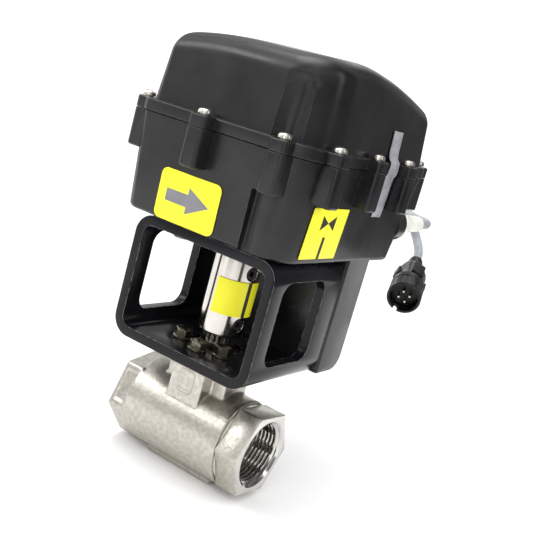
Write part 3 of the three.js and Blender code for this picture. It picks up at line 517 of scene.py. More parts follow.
def mouth_cutter(x, outward):
    """The chamfer that leads into a pipe thread."""
    profile = [(0, -LEAD), (CREST_R, -LEAD), (ROOT_R + 1.2, 0.3), (0, 0.3)]
    cone = lathe("mouth_cutter", profile, 72)
    turn = LAID_ALONG_X if outward > 0 else LAID_ALONG_X @ Matrix.Rotation(math.pi, 4, "X")
    return place(cone, (x, 0, 0), turn)


def bar_x(radius, x0, x1, edge=0.0, sides=72):
    return place(cylinder("bar", radius, x0, x1, edge, sides), turn=LAID_ALONG_X)


def hex_x(turn, x0, x1, round_by):
    bar = place(prism("hex_bar", hexagon(HEX_FLATS, 30 - turn), x0, x1), turn=LAID_ALONG_X)
    return bevel(bar, round_by)


def panel_cutter(at, normal, size, depth):
    """A shallow rounded block that presses a plain panel into a face, its width along X."""
    width, height = size
    block = slab("panel_cutter", (-width / 2, width / 2, -height / 2, height / 2, 1.2), -depth, 3)
    across = Vector((1, 0, 0))
    turn = Matrix((across, normal.cross(across), normal)).transposed().to_4x4()
    return place(block, at, turn)


def cast_over(piece):
    """Runs the welded blocks together, as a casting's soft inner corners do."""
    remesh = piece.modifiers.new("remesh", "REMESH")
    remesh.mode = "VOXEL"
    remesh.voxel_size = VALVE_VOXEL * MM
    smooth = piece.modifiers.new("smooth", "SMOOTH")
    smooth.factor = 0.5
    smooth.iterations = 5
    apply_modifiers(piece)


def in_thread(point):
    return math.hypot(point.y, point.z) < ROOT_R + 1.1


def add_valve_body():
    low, high = span("valve_body")
    half = NECK["width"] / 2
    body = weld(
        bar_x(BARREL_R, LEFT_HEX_END - 2, BODY_END + 0.5, 0.6),
        hex_x(HEX_LEFT_TURN, low.x, LEFT_HEX_END, 1.0),
        slab("arm", (-half, half, -NECK["y"], NECK["y"], 0.8), NECK["z0"], NECK["z1"]),
        slab("arm", (-NECK["x"], NECK["x"], -half, half, 0.8), NECK["z0"], NECK["z1"]),
        slab("pad", PAD, PAD_BOTTOM, high.z, 0.6, 0.4),
        slab("foot", FOOT, low.z, FOOT_TOP, 0.5),
    )
    front = Vector((0, -1, 0))
    facet = Vector((0, -math.cos(FACET_CLIMB), math.sin(FACET_CLIMB)))
    carve(
        body,
        panel_cutter((0, -NECK["y"], NECK_PANEL["z"]), front, NECK_PANEL["size"], NECK_PANEL["depth"]),
        panel_cutter(Vector((HEX_PANEL["x"], 0, 0)) + HEX_FLATS / 2 * facet, facet,
                     HEX_PANEL["size"], HEX_PANEL["depth"]),
    )
    cast_over(body)
    carve(
        body,
        bar_x(CHAMBER_R, CHAMBER_LEFT, BODY_END + 1),
        bar_x(PORT_R, THREAD_ENDS[0] - 2, CHAMBER_LEFT + 4.4),
        thread_cutter(low.x - 1, THREAD_ENDS[0]),
        mouth_cutter(low.x, -1),
        cylinder("stem_bore", STEM_BORE_R, 10, high.z + 4),
        cylinder("packing_bore", PACKING_BORE_R, 28, high.z + 4),
    )
    body.name = "valve_casting"
    settle(body, CAST, "cast_steel", "valve_body")
    paint(body, MACHINED, lambda p: p.x < MACHINED_TO and in_thread(p))


def add_end_cap():
    high = span("end_cap")[1]
    cap = weld(hex_x(HEX_RIGHT_TURN, CAP_SHOULDER - 0.4, high.x, 0.7),
               bar_x(CHAMBER_R - 0.3, CAP_PLUG_START, CAP_SHOULDER + 1))
    carve(
        cap,
        thread_cutter(THREAD_ENDS[1], high.x + 1),
        mouth_cutter(high.x, 1),
        bar_x(PORT_R, CAP_PLUG_START - 1.7, THREAD_ENDS[1] + 2),
    )
    cap.name = "threaded_cap"
    settle(cap, CAST, "cast_steel", "end_cap")
    paint(cap, MACHINED, in_thread)


add_valve_body()
add_end_cap()

# ---------- bracket, bolts and screws ----------

BRACKET_CORNER = 10
BRACKET_WALL = 5
BRACKET_EDGE = 0.55
WINDOW = (-23, 17, 49, 91, 7)
SHAFT_HOLE_R = 18.4
STEM_HOLE_R = 13.2
STAND_UP_Y = Matrix.Rotation(QUARTER, 4, "X")  # local Z to -Y, local Y to Z
FACING_X = Matrix(((0, 0, 1, 0), (1, 0, 0, 0), (0, 1, 0, 0), (0, 0, 0, 1)))  # local X, Y, Z to Y, Z, X
BOLT_FLATS = 8
BRACKET_BOLT = {"head": 5, "shank_r": 2, "shank": 9.5}
LOCATING_BOLT = {"head": 4.4, "shank_r": 2, "shank": 4.6}
UNDER_SCREW = {"head": 3.6, "shank_r": 2.2, "shank": 9.4}


def add_bracket():
    low, high = span("mounting_bracket")
    wall = BRACKET_WALL
    outer = (low.x, high.x, low.z, high.z, BRACKET_CORNER)
    inner = inset(outer, wall)
    tube = place(prism("tube", rounded(outer, 14), -high.y, -low.y), turn=STAND_UP_Y)
    hole = place(prism("hole", rounded(inner, 10), -high.y - 1, -low.y + 1), turn=STAND_UP_Y)
    windows = place(prism("windows", rounded(WINDOW, 12), low.x - 1, high.x + 1), turn=FACING_X)
    carve(tube, hole, windows, cylinder("shaft_hole", SHAFT_HOLE_R, high.z - wall - 1, high.z + 1),
          cylinder("stem_hole", STEM_HOLE_R, low.z - 1, low.z + wall + 1))
    bevel(tube, BRACKET_EDGE, 3, 40)
    tube.name = "anodised_bracket"
    settle(tube, ANODISED, "black_anodised", "mounting_bracket")


def bolt_shape(name, head, shank_r, shank, turn=20.0):
    """A hexagon head with its corners turned off, on a flange, with a shank below z = 0."""
    corner = BOLT_FLATS / math.sqrt(3)
    crown = lathe("crown", [(0, 0.9), (corner + 0.1, 0.9), (corner + 0.1, head - 0.75),
                            (BOLT_FLATS / 2 - 0.2, head), (0, head)], 48)
    hex_head = carve(prism("hex", hexagon(BOLT_FLATS, turn), 0.9, head), crown, how="INTERSECT")
    flange = lathe("flange", [(0, 0), (BOLT_FLATS * 0.62, 0), (BOLT_FLATS * 0.62, 0.55),
                              (BOLT_FLATS * 0.56, 0.95), (BOLT_FLATS * 0.45, 1.1), (0, 1.1)], 48)
    rod = cylinder("shank", shank_r, -shank, 0.4, 0.3, 24)
    bolt = weld(hex_head, flange, rod)
    bolt.name = name
    return bolt


def add_bolt(name, node, size, turn=20.0):
    """A bolt whose head stands on top."""
    top = span(node)[1].z
    bolt = place(bolt_shape(name, turn=turn, **size), (*middle(node).xy, top - size["head"]))
    settle(bolt, DARK_STEEL, "dark_fasteners", node)


def add_under_screw(name, node):
    """A screw whose head hangs under the bracket's top plate."""
    bottom = span(node)[0].z
    at = (*middle(node).xy, bottom + UNDER_SCREW["head"])
    screw = place(bolt_shape(name, **UNDER_SCREW), at, Matrix.Rotation(math.pi, 4, "X"))
    settle(screw, DARK_STEEL, "dark_fasteners", node)


add_bracket()
for number in range(1, 5):
    add_bolt(f"bolt_{number}", f"bracket_bolt_{number}", BRACKET_BOLT, 3 + 17 * number)
add_bolt("bolt_5", "locating_bolt", LOCATING_BOLT)
for number in range(1, 5):
    add_under_screw(f"under_screw_{number}", f"housing_screw_{number}")

# ---------- output ----------

COUPLING_R = 12
STEM_BORE_TOP = 66.3
SHAFT_BORE_BOTTOM = 72
SHAFT_R = 6
SHAFT_BORE_R = SHAFT_R + 0.3
SET_SCREWS = {"set_screw_upper": 84, "set_screw_lower": 57}
POINTER_AT = -14  # degrees about the stem: the set screws and the line on the label
LABEL_SPAN = (-94, 24)
POINTER_WIDTH = 2.2
STEM_FLATS = {"half": 4.6, "z": 51}
TANG = (-6, 6, -2.6, 2.6, 0.4)
NUT_FLATS = 18
BUSH = {"flange_r": 17.5, "flange_top": 99.4, "neck_r": 9}


def add_coupling():
    low, high = span("drive_coupling")
    body = cylinder("coupling", COUPLING_R, low.z, high.z, 0.8, 128)
    cutters = [cylinder("stem_bore", STEM_BORE_R, low.z - 1, STEM_BORE_TOP),
               cylinder("shaft_bore", SHAFT_BORE_R, SHAFT_BORE_BOTTOM, high.z + 1)]
    turn = Matrix.Rotation(math.radians(POINTER_AT), 4, "Z")
    past = COUPLING_R + 0.6
    hole_profile = [(0, 4), (3.3, 4), (3.3, COUPLING_R - 0.9), (4.2, past), (0, past)]
    for z in SET_SCREWS.values():
        hole = place(lathe("screw_hole", hole_profile, 40), turn=LAID_ALONG_X)
        cutters.append(place(hole, (0, 0, z), turn))
    carve(body, *cutters)
    body.name = "turned_coupling"
    settle(body, POLISHED, "polished_steel", "drive_coupling", body="output")
    for node, z in SET_SCREWS.items():
        screw = cylinder("grub", 3, SHAFT_R + 0.6, COUPLING_R - 0.6, 0.35, 40)
        carve(screw, prism("socket", hexagon(3), COUPLING_R - 3, COUPLING_R + 1))
        place(place(screw, turn=LAID_ALONG_X), (0, 0, z), turn)
        screw.name = node.replace("set_screw", "grub_screw")
        settle(screw, RUBBER, "black_rubber", node, body="output")


def curved_plate(name, inner, outer, start, end, z0, z1, parts):
    """A plate wrapped about the Z axis between two angles in degrees."""
    rings = []
    for k in range(parts + 1):
        angle = math.radians(start + (end - start) * k / parts)
        rings.append([(r * math.cos(angle), r * math.sin(angle), z)
                      for r, z in ((inner, z0), (outer, z0), (outer, z1), (inner, z1))])
    return loft(name, rings)


def add_indicator():
    low, high = span("indicator_label")
    inner = COUPLING_R + 0.3
    outer = inner + 0.4
    plate = curved_plate("plate", inner, outer, *LABEL_SPAN, low.z, high.z, 48)
    half = math.degrees(POINTER_WIDTH / 2 / outer)
    ends = (POINTER_AT - half, POINTER_AT + half)
    line = curved_plate("line", outer - 0.05, outer + 0.07, *ends, low.z, high.z, 6)
    label = gather("pointer_label", plate, line)

    def on_line(point):
        off = abs(math.degrees(math.atan2(point.y, point.x)) - POINTER_AT)
        return math.hypot(point.x, point.y) > outer + 0.01 and off < half + 0.1

    settle(label, YELLOW, "yellow_label", "indicator_label", body="output")
    paint(label, PRINT_BLACK, on_line)


def add_stem():
    low, high = span("valve_stem")
    top = high.z
    stem = lathe("stem", [(0, 17), (7.6, 17), (7.6, 19.4), (STEM_R, 19.6), (STEM_R, top - 0.6),
                          (STEM_R - 0.6, top), (0, top)])
    weld(stem, slab("tang", TANG, low.z, 18, 0.3))
    half, bottom = STEM_FLATS["half"], STEM_FLATS["z"]
    kept = slab("flats", (-10, 10, -half, half, 0.2), bottom, top + 1)
    shell = cylinder("shell", STEM_R + 2, bottom, top + 1)
    carve(shell, kept)
    carve(stem, shell)
    stem.name = "stem"
    settle(stem, POLISHED, "polished_steel", "valve_stem", body="output")


def add_packing_nut():
    low, high = (corner.z for corner in span("packing_nut"))
    crown = lathe("crown", [(0, low), (10.5, low), (10.5, high - 0.9), (NUT_FLATS / 2, high), (0, high)])
    nut = carve(prism("hex", hexagon(NUT_FLATS), low, high), crown, how="INTERSECT")
    carve(nut, cylinder("nut_bore", STEM_BORE_R, low - 1, high + 1))
    nut.name = "stem_nut"
    settle(nut, DARK_STEEL, "dark_fasteners", "packing_nut", body="output")


def add_bush():
    low, high = (corner.z for corner in span("output_bush"))
    inner, neck, flange, shelf = SHAFT_BORE_R, BUSH["neck_r"], BUSH["flange_r"], BUSH["flange_top"]
    bush = lathe("shaft_bush", [(inner, low), (flange - 0.4, low), (flange, low + 0.4), (flange, shelf),
                                (neck, shelf), (neck, high - 0.4), (neck - 0.4, high), (inner, high)], 96)
    settle(bush, POLISHED, "polished_steel", "output_bush")


add_coupling()
add_indicator()
add_stem()
add_packing_nut()
add_bush()

# ---------- housing ----------

BASE_FOOT = (-51.8, 43, -35.3, 81.5, 8, 16)
BASE_RIM = (-54.2, 45.3, -37, 88, 7, 14)
SEAL_LINE = (-51, 45.3, -37, 88, 7, 14)
RECESS = (19.5, 26.5, -50, -31.8, 1.5)
BASE_BOTTOM = 100
BASE_TOP = 147.6
COVER_BOTTOM = 147.8
COVER_FLANGE = 153.6
FOOT_ROUND = 2.4
WALL = 3
SKIN = 2.5
RIM_LIP = 1
LOBE_HALF = 5
LOBE_LEFT_REACH = 3.4
LOBE_ROUND = 2.4
LOBE_BOTTOM = 129
LOBE_CORE = 6  # how far inside the rim a lobe starts
COVER_SCREWS = [
    (-55, -31), (-12.5, -40.6), (31, -39.2),
    (48.4, -20), (48.4, 19), (48.4, 55), (38, 92),
    (-38, 92), (-55, 62), (-55, 14),
]
LEG = (33.2, 57.5, 38.2, 109, 2.5, 9)  # in Y and Z; its lower back corner is the round one
LEG_HALF_WIDTH = 42.6
GLAND = {"x": 36, "y0": 86.3, "y1": 122, "z": 119.5}
GLAND_PAD = {"r": 9.2, "bore_r": 3.6, "y": 77}
BUSH_BORE_R = 9.4
DOME_FOOT = (-51.4, 44.3, -34.8, 85.7, 7, 24)
DOME_CROWN = 194.4
CROWN_FALL = {"back": 12, "front": 3.7, "left": 4.9}
CROWN_LEVEL = {"back": 0, "front": 20, "left": -4}  # where each fall starts
BACK_POWER = 1.76
DOME_EDGE = 10
DRAFT = 2.2
CHANNEL = {"x": 28.6, "y": -35.7, "z": 178, "r": 7.2}
CORNER_STEPS = 12


def lobe_reach(screw, core, low_reach=LOBE_HALF):
    """One axis of a lobe: from its core to just past the screw, or to both sides of a screw level with it."""
    if screw < core:
        return (screw - low_reach, core)
    if screw > core:
        return (core, screw + LOBE_HALF)
    return (screw - LOBE_HALF, screw + LOBE_HALF)


def lobe_rect(at):
    """The footprint of the lobe that carries a cover screw."""
    x, y = at
    core_x = min(max(x, BASE_RIM[0] + LOBE_CORE), BASE_RIM[1] - LOBE_CORE)
    core_y = min(max(y, BASE_RIM[2] + LOBE_CORE), BASE_RIM[3] - LOBE_CORE)
    return (*lobe_reach(x, core_x, LOBE_LEFT_REACH), *lobe_reach(y, core_y), LOBE_ROUND)


def leg_block(name, thin=0):
    """The leg behind the bracket, or, thinned by its wall, the space inside it."""
    y0, y1, z0, z1, radius, back_radius = LEG
    rect = (y0 + thin, y1 - thin, z0 + thin, z1, max(radius - thin, 0.5), back_radius - thin)
    half = LEG_HALF_WIDTH - thin
    block = place(prism(name, rounded(rect, CORNER_STEPS), -half, half), turn=FACING_X)
    return block if thin else bevel(block, 1.6, 4, 60)


def on_gland_axis(piece):
    return place(piece, (GLAND["x"], 0, GLAND["z"]), LAID_ALONG_Y)


def base_shell():
    rings = []
    for k in range(6):
        angle = QUARTER * k / 5
        foot = inset(BASE_FOOT, FOOT_ROUND * (1 - math.sin(angle)))
        rings.append(level(foot, BASE_BOTTOM + FOOT_ROUND * (1 - math.cos(angle)), CORNER_STEPS))
    rings.append(level(BASE_RIM, BASE_TOP - 0.4, CORNER_STEPS))
    rings.append(level(inset(BASE_RIM, 0.4), BASE_TOP, CORNER_STEPS))
    return loft("shell", rings)


def add_base():
    shell = base_shell()
    lobes = [slab("lobe", lobe_rect(at), LOBE_BOTTOM, BASE_TOP, 1.2, 0.4) for at in COVER_SCREWS]
    pad = on_gland_axis(cylinder("pad", GLAND_PAD["r"], GLAND_PAD["y"], GLAND["y0"] - 0.3, 0.5))
    weld(shell, *lobes, pad, leg_block("leg"))
    hollow = loft("hollow", [level(inset(BASE_FOOT, WALL), BASE_BOTTOM + WALL, CORNER_STEPS),
                             level(inset(SEAL_LINE, WALL), BASE_TOP + 1, CORNER_STEPS)])
    x0, x1, front_y, depth_y, _ = RECESS
    backing = (x0 - WALL, x1 + WALL, front_y, depth_y + WALL - 0.3, 1)
    carve(hollow, slab("backing", backing, BASE_BOTTOM, LOBE_BOTTOM + 2))
    carve(
        shell,
        hollow,
        leg_block("leg_hollow", WALL),
        slab("recess", RECESS, BASE_BOTTOM - 1, LOBE_BOTTOM, 0, 0.8),
        cylinder("bush_bore", BUSH_BORE_R, BASE_BOTTOM - 1, BASE_BOTTOM + WALL + 1),
        on_gland_axis(cylinder("gland_bore", GLAND_PAD["bore_r"], GLAND_PAD["y"] - 1, GLAND["y0"] + 1)),
    )
    shell.name = "lower_shell"
    settle(shell, HOUSING, "black_housing", "housing_base")


def crown_height(x, y):
    """The crown is level in the middle and falls in curves to the back, the front and the left."""
    start = CROWN_LEVEL
    back = max(0, (y - start["back"]) / (DOME_FOOT[3] - start["back"])) ** BACK_POWER
    front = max(0, (start["front"] - y) / (start["front"] - DOME_FOOT[2])) ** 2
    left = max(0, (start["left"] - x) / (start["left"] - DOME_FOOT[0])) ** 2
    falls = {"back": back, "front": front, "left": left}
    return DOME_CROWN - sum(CROWN_FALL[side] * fall for side, fall in falls.items())


def soft_max(a, b, blend):
    """The greater of two values, with the switch between them rounded over."""
    h = max(0.0, 1 - abs(a - b) / blend)
    return max(a, b) + h * h * blend / 4


def into_channel(point, thin):
    """Pushes a point of the front wall back to the surface of the upright screw channel."""
    x, y, z = point
    radius = CHANNEL["r"] + thin
    room = radius**2 - (x - CHANNEL["x"]) ** 2 - max(0, z - CHANNEL["z"]) ** 2
    if y > 0 or room <= 0:
        return point
    return (x, soft_max(y, CHANNEL["y"] + math.sqrt(room), 0.6), z)


def dome_rings(thin, floor):
    """The dome's rings from the floor to the crown, or, thinned by its skin, those of its hollow."""
    wall_parts, edge_parts, crown_parts = 12, 10, 10
    foot = inset(DOME_FOOT, thin)
    edge = DOME_EDGE - thin

    def ring(inward, drop):
        outline = rounded(inset(foot, inward), 10, 70)
        return [(x, y, crown_height(x, y) - drop) for x, y in outline]

    foot_ring = level(foot, floor, 10, 70)
    shoulder = ring(DRAFT, DOME_EDGE)
    rings = [foot_ring]
    for k in range(1, wall_parts):
        part = k / wall_parts
        rings.append([tuple(p + (q - p) * part for p, q in zip(a, b)) for a, b in zip(foot_ring, shoulder)])
    for k in range(edge_parts + 1):
        angle = QUARTER * k / edge_parts
        rings.append(ring(DRAFT + edge * (1 - math.cos(angle)), thin + edge * (1 - math.sin(angle))))
    cx, cy = (foot[0] + foot[1]) / 2, (foot[2] + foot[3]) / 2
    for k in range(1, crown_parts + 1):
        part = max(1 - k / crown_parts, 0.03)
        flat = [(cx + (x - cx) * part, cy + (y - cy) * part) for x, y, _ in rings[wall_parts + edge_parts]]
        rings.append([(x, y, crown_height(x, y) - thin) for x, y in flat])
    return [[into_channel(p, thin) for p in ring] for ring in rings]


def add_cover():
    cover = slab("flange", inset(BASE_RIM, -RIM_LIP), COVER_BOTTOM, COVER_FLANGE, 0.4, 0.9, 10)
    lobes = [slab("lobe", lobe_rect(at), COVER_BOTTOM, COVER_FLANGE, 0.4, 0.9) for at in COVER_SCREWS]
    weld(cover, loft("dome", dome_rings(0, COVER_FLANGE - 2)), *lobes)
    well = cylinder("well", CHANNEL["r"] - 0.2, COVER_FLANGE, CHANNEL["z"])
    place(well, (CHANNEL["x"], CHANNEL["y"], 0))
    carve(
        cover,
        loft("hollow", dome_rings(SKIN, COVER_BOTTOM - 1)),
        slab("low_hollow", inset(SEAL_LINE, WALL + 1), COVER_BOTTOM - 1, COVER_BOTTOM + 2),
        well,
    )
    cover.name = "upper_shell"
    settle(cover, HOUSING, "black_housing", "housing_cover")


def add_cover_screw(number, x, y, turn):
    """A pan head with a cross recess."""
    head = lathe("head", [(0, 0), (3.1, 0), (3.3, 0.25), (3.3, 1.1), (3.1, 1.75), (2.6, 2.25),
                          (1.8, 2.55), (0.9, 2.68), (0, 2.7)], 48)
    long, narrow = 1.9, 0.45
    carve(head, slab("blade", (-long, long, -narrow, narrow, 0.15), 1.3, 4),
          slab("blade", (-narrow, narrow, -long, long, 0.15), 1.3, 4))
    screw = weld(head, cylinder("shank", 1.9, -20, 0.5, 0.3, 24))
    place(screw, (x, y, COVER_FLANGE + 0.3), Matrix.Rotation(turn, 4, "Z"))
    screw.name = f"pan_screw_{number}"
    settle(screw, BRIGHT_SCREW, "bright_screws", f"cover_screw_{number}")


add_base()
add_cover()
for number, (screw_x, screw_y) in enumerate(COVER_SCREWS, 1):
    add_cover_screw(number, screw_x, screw_y, 0.7 * (number - 1))

# ---------- labels and tape ----------

VINYL = 0.35
PRINT = (0.3, 0.42)  # where the raised print starts, inside the vinyl, and ends
ARROW_LABEL = (-18, 18, -12.2, 12.2, 3.4)
ARROW_LABEL_AT = (-13.3, BASE_FOOT[2] - 0.7, 112.8)
STATE_LABEL = (-16.7, 16.7, -12.4, 12.4, 0.6)
STATE_LABEL_AT = (BASE_FOOT[1] + 1.05, -4.4, 115.6)
TAPE_SIDES = (37.9, 48.1)
TAPE_LINE = [
    (44.6, 125), (45.2, 136), (45.7, 145.6), (46.5, 147.6), (46.8, 149.2), (46.8, 152.6),
    (46.4, 153.9), (45.2, 155.2), (44.6, 157.4), (44.1, 163), (43.7, 169),
]


def lean(origin, right, up):
    """A turn and place that lays local X along `right` and local Y along `up` on a wall."""
    right, up = Vector(right).normalized(), Vector(up).normalized()
    turn = Matrix((right, up, right.cross(up))).transposed().to_4x4()
    return Matrix.Translation(Vector(origin) * MM) @ turn


def add_label(name, node, plate, marks, ink, wall):
    """Vinyl with raised print, made flat and then laid on its wall."""
    label = gather(name, plate, *(prism("mark", outline, *PRINT) for outline in marks))
    settle(label, YELLOW, "yellow_label", node)
    paint(label, ink, lambda p: p.z > VINYL + 0.005)
    label.data.transform(wall)


def add_labels():
    climb = BASE_TOP - BASE_BOTTOM - FOOT_ROUND
    arrow = [(-13, -3), (0, -3), (0, -6.4), (13, 0), (0, 6.4), (0, 3), (-13, 3)]
    front_wall = lean(ARROW_LABEL_AT, (1, 0, 0), (0, BASE_RIM[2] - BASE_FOOT[2], climb))
    plate = slab("plate", ARROW_LABEL, 0, VINYL, 0, 0.1, 10)
    add_label("direction_label", "arrow_label", plate, [arrow], PRINT_GREY, front_wall)

    bar = rounded((-1.2, 1.2, -12.3, -1.6, 0.2), 3)
    left_cone = [(-6.4, 8.8), (-6.4, 1.6), (0, 5.2)]
    right_cone = [(0, 5.2), (6.4, 1.6), (6.4, 8.8)]
    right_wall = lean(STATE_LABEL_AT, (0, 1, 0), (BASE_RIM[1] - BASE_FOOT[1], 0, climb))
    plate = slab("plate", STATE_LABEL, 0, VINYL, 0, 0.1, 6)
    marks = [bar, left_cone, right_cone]
    add_label("state_label", "position_label", plate, marks, PRINT_BLACK, right_wall)


def add_tape():
    """A strip of foil that runs up the right wall, over the rim and onto the cover."""
    path = smooth_path([(x, 0, z) for x, z in TAPE_LINE], 4)
    rings = []
    for k, at in enumerate(path):
        along = (path[min(k + 1, len(path) - 1)] - path[max(k - 1, 0)]).normalized()
        out = Vector((along.z, 0, -along.x))
        near = TAPE_SIDES[0] + 0.15 * math.sin(k * 0.7)
        far = TAPE_SIDES[1] + 0.2 * math.sin(k * 0.5 + 1)
        crest = 0.3 + 0.12 * math.sin(k * 0.9)
        section = ((near, 0.0), (near, 0.25), ((near + far) / 2, crest), (far, 0.25), (far, 0.0))
        raised = [(side, at + out * height) for side, height in section]
        rings.append([(p.x, side, p.z) for side, p in raised])
    settle(loft("foil_strip", rings), TAPE, "silver_tape", "seal_tape")


add_labels()
add_tape()

# ---------- gland and connector ----------

GLAND_FLATS = 16
GLAND_NUT = 4.5
BOOT_R = 5.2
BOOT_RIBS = 7
BOOT_PITCH = 3.2
CONNECTOR_AXIS = Vector((0.335, -0.898, -0.286)).normalized()
CONNECTOR_LENGTH = 56
RELIEF_RIBS = 5
RELIEF_PITCH = 2.4
RING_R = 10.5
RING_GROOVES = 24
SOCKET_R = 8.8
PINS = 4
PIN_CIRCLE = 3.4
PIN_R = 0.9
PIN_TURN = math.radians(40)


def add_gland():
    y0, y1 = GLAND["y0"], GLAND["y1"]
    corner = GLAND_FLATS / math.sqrt(3)
    crown = lathe("crown", [(0, y0), (corner - 0.6, y0), (corner + 0.1, y0 + 0.6), (corner + 0.1, y0 + 3.7),
                            (GLAND_FLATS / 2 - 0.1, y0 + GLAND_NUT), (0, y0 + GLAND_NUT)])
    nut = carve(prism("hex", hexagon(GLAND_FLATS, 12), y0, y0 + GLAND_NUT), crown, how="INTERSECT")
    profile = [(0, y0 + 4), (7.6, y0 + 4), (7.8, y0 + 4.4), (7.8, y0 + 8), (7.4, y0 + 9.6),
               (6.6, y0 + 10.8), (BOOT_R, y0 + 11.6)]
    for k in range(BOOT_RIBS):
        y = y0 + 12.2 + k * BOOT_PITCH
        r = BOOT_R - 0.1 * k
        profile += [(r, y), (r, y + 2.2), (r - 0.5, y + 2.5), (r - 0.5, y + 3)]
    profile += [(4.6, y1 - 1), (4.2, y1), (0, y1)]
    gland = on_gland_axis(weld(nut, lathe("dome_nut", profile)))
    gland.name = "gland_and_boot"
    settle(gland, GLAND_WHITE, "gland_plastic", "cable_gland")


def connector_place():
    start = Vector(CABLE_ROUTE[-1]) + 0.5 * CONNECTOR_AXIS
    turn = Vector((0, 0, 1)).rotation_difference(CONNECTOR_AXIS).to_matrix().to_4x4()
    return Matrix.Translation(start * MM) @ turn


def connector_profile():
    """From the ribbed relief on the cable, over the grip, to the coupling ring."""
    end = CONNECTOR_LENGTH
    profile = [(0, 0), (3.9, 0), (4.2, 0.4)]
    for k in range(RELIEF_RIBS):
        z = 1 + RELIEF_PITCH * k
        r = 4.5 + 0.32 * k
        profile += [(r, z), (r, z + 1.5), (r - 0.7, z + 1.8), (r - 0.6, z + 2.3)]
    grip = [(6.2, 13.4), (7.6, 15.4), (8.2, 18), (8.4, 22), (9.4, 23.4), (9.6, 24), (9.6, 37.4), (9.9, 38.2)]
    ring = [(RING_R, 39), (RING_R, 43), (RING_R - 0.4, 43.4), (RING_R - 0.4, 44.4), (RING_R, 44.8),
            (RING_R, end - 0.7), (RING_R - 0.6, end), (0, end)]
    return profile + grip + ring


def add_connector():
    end = CONNECTOR_LENGTH
    shell = lathe("shell", connector_profile(), 96)
    tab = slab("tab", (-4.2, 4.2, 8.6, RING_R, 0.6), 22, 36, 0.4, 0.4)
    lugs = []
    for side in (0, math.pi):
        lug = slab("lug", (9, RING_R, -3, 3, 0.5), 26, 35, 0.4, 0.4)
        lugs.append(place(lug, turn=Matrix.Rotation(side, 4, "Z")))
    weld(shell, tab, *lugs)
    grooves = []
    for i in range(RING_GROOVES):
        groove = slab("groove", (RING_R - 0.4, RING_R + 0.5, -0.35, 0.35, 0.15), 45.6, end - 2, 0, 0, 3)
        grooves.append(place(groove, turn=Matrix.Rotation(2 * math.pi * i / RING_GROOVES, 4, "Z")))
    carve(shell, cylinder("socket", SOCKET_R, end - 12, end + 1), gather("grooves", *grooves))
    carve(shell, slab("notch", (-1.4, 1.4, -11, -8.4, 0.4), end - 5, end + 1))
    shell.name = "connector_shell"
    shell.data.transform(connector_place())
    settle(shell, MOULDING, "black_moulding", "connector_body")


def add_pins():
    face = CONNECTOR_LENGTH - 7
    disc = cylinder("disc", SOCKET_R - 0.3, CONNECTOR_LENGTH - 11.7, face, 0.3)
    weld(disc, slab("key", (-0.9, 0.9, 6.2, 8.5, 0.3), face - 1, face + 2.4, 0, 0.3))
    angles = [QUARTER * i + PIN_TURN for i in range(PINS)]
    pin_places = [(PIN_CIRCLE * math.cos(a), PIN_CIRCLE * math.sin(a)) for a in angles]
    pins = []
    for x, y in pin_places:
        pin = lathe("pin", [(0, face - 1), (PIN_R, face - 1), (PIN_R, face + 4.4),
                            (PIN_R - 0.3, face + 4.9), (0, face + 5)], 24)
        pins.append(place(pin, (x, y, 0)))
    insert = gather("pins_and_face", disc, *pins)

    def on_pin(point):
        off = min(math.hypot(point.x - x, point.y - y) for x, y in pin_places)
        return point.z > face + 0.2 and off < PIN_R + 0.1

    settle(insert, MOULDING, "black_moulding", "pin_insert")
    paint(insert, PIN_METAL, on_pin)
    insert.data.transform(connector_place())


add_gland()
add_connector()
add_pins()

# ---------- finishes for the parts that stay as the CAD has them ----------

for finish, nodes in (
    (WHITE, ("body_seal", "seat_ring_left", "seat_ring_right", "thrust_washer", "stem_packing", "output_gear",
             "idler_gear_1", "idler_gear_2", "closed_plunger", "open_plunger")),
    (POLISHED, ("ball", "gland_ring", "output_shaft")),
    (RUBBER, ("housing_gasket", "cam", "closed_switch", "open_switch")),
    (BRASS, ("motor_pinion",)),
    (BOARD, ("circuit_board",)),
    (CAN, ("motor",)),
    (ZINC, ("gear_frame",)),
):
    for node in nodes:
        for holder in bpy.data.objects[node].material_slots:
            holder.material = finish

# ---------- floor, light and the end ----------

FLOOR_HALF = 6000
TABLE_RADIUS = 560  # how far gloss sees the white table; beyond it gloss sees the room
FLOOR_DROP = 0.0002  # metres below the part, with the table halfway, so that no two faces coincide
ROOM_WHITE = 1.3
DARK_SIDE = Vector((0.85, 0.50, -0.10)).normalized()
GLOSS_SHADES = (1.0, 0.12)  # what gloss sees away from the dark side, and towards it
GLOSS_PATCHES = (0.35, 1.9)


def add_floor():
    low = cad_box[0][2]
    h = FLOOR_HALF
    floor = mesh_piece("studio_floor", [(-h, -h, 0), (h, -h, 0), (h, h, 0), (-h, h, 0)], [(0, 1, 2, 3)])
    floor.data.transform(Matrix.Translation((0, 0, low - FLOOR_DROP)))
    pale = surface("pale_floor", (0.90, 0.90, 0.90), (0.87, 0.87, 0.87), 0.6, patch=300,
                   grain=0.001, fixed={"Specular IOR Level": 0.0})
    floor.data.materials.append(pale)
    floor.visible_glossy = False
    table = lathe("table_top", [(0, -1), (TABLE_RADIUS, -1), (TABLE_RADIUS, 0), (0, 0)], 96)
    table.data.transform(Matrix.Translation((0, 0, low - FLOOR_DROP / 2)))
    table.data.materials.append(pale)


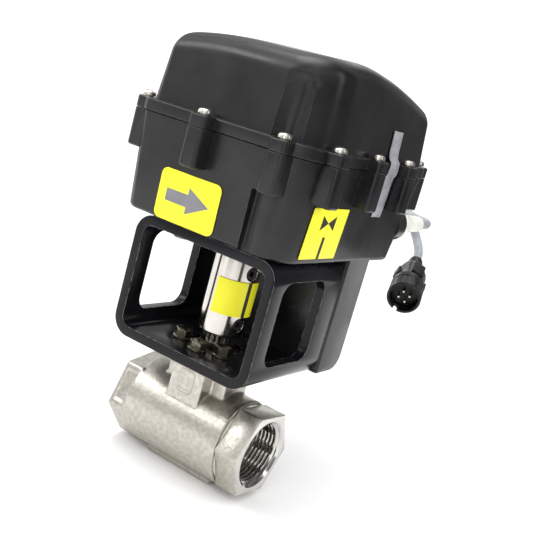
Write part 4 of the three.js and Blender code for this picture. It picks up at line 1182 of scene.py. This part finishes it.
def add_softbox(name, at, target, size, radiance):
    data = bpy.data.lights.new(name, "AREA")
    data.shape = "RECTANGLE"
    data.size, data.size_y = size[0] * MM, size[1] * MM
    data.energy = radiance * math.pi * data.size * data.size_y
    light = bpy.data.objects.new(name, data)
    light.location = Vector(at) * MM
    light.rotation_euler = (Vector(target) - Vector(at)).to_track_quat("-Z", "Y").to_euler()
    bpy.context.scene.collection.objects.link(light)


def add_room():
    """Plain white to the camera and to matt surfaces; gloss sees an uneven room, darker to the right."""
    world = bpy.data.worlds.new("room")
    world.use_nodes = True
    bpy.context.scene.world = world
    tree = world.node_tree
    plain = tree.nodes["Background"]
    plain.inputs["Color"].default_value = (1, 1, 1, 1)
    plain.inputs["Strength"].default_value = ROOM_WHITE
    direction = tree.nodes.new("ShaderNodeTexCoord").outputs["Generated"]
    dot = tree.nodes.new("ShaderNodeVectorMath")
    dot.operation = "DOT_PRODUCT"
    dot.inputs[1].default_value = DARK_SIDE
    tree.links.new(direction, dot.inputs[0])
    mirrored = tree.nodes.new("ShaderNodeBackground")
    shade_there = remap(tree, dot.outputs["Value"], -0.3, 0.7, *GLOSS_SHADES)
    tree.links.new(shade_there, mirrored.inputs["Color"])
    uneven = add_noise(tree, direction, 2.6, 1.0, (1, 1, 0.45))
    tree.links.new(remap(tree, uneven, 0.38, 0.62, *GLOSS_PATCHES), mirrored.inputs["Strength"])
    seen = tree.nodes.new("ShaderNodeLightPath").outputs["Is Glossy Ray"]
    mix = tree.nodes.new("ShaderNodeMixShader")
    tree.links.new(seen, mix.inputs["Fac"])
    tree.links.new(plain.outputs["Background"], mix.inputs[1])
    tree.links.new(mirrored.outputs["Background"], mix.inputs[2])
    tree.links.new(mix.outputs["Shader"], tree.nodes["World Output"].inputs["Surface"])


add_floor()
add_room()
add_softbox("key_light", (-420, -420, 520), (0, 0, 60), (420, 160), 5)
add_softbox("top_light", (-120, -60, 800), (0, 0, 60), (420, 420), 5)
add_softbox("rim_light", (520, 60, 420), (0, 0, 90), (60, 420), 4)
bpy.context.scene.view_settings.view_transform = "Standard"

settle(cable, SHEATH, "cable_sheath", "cable")
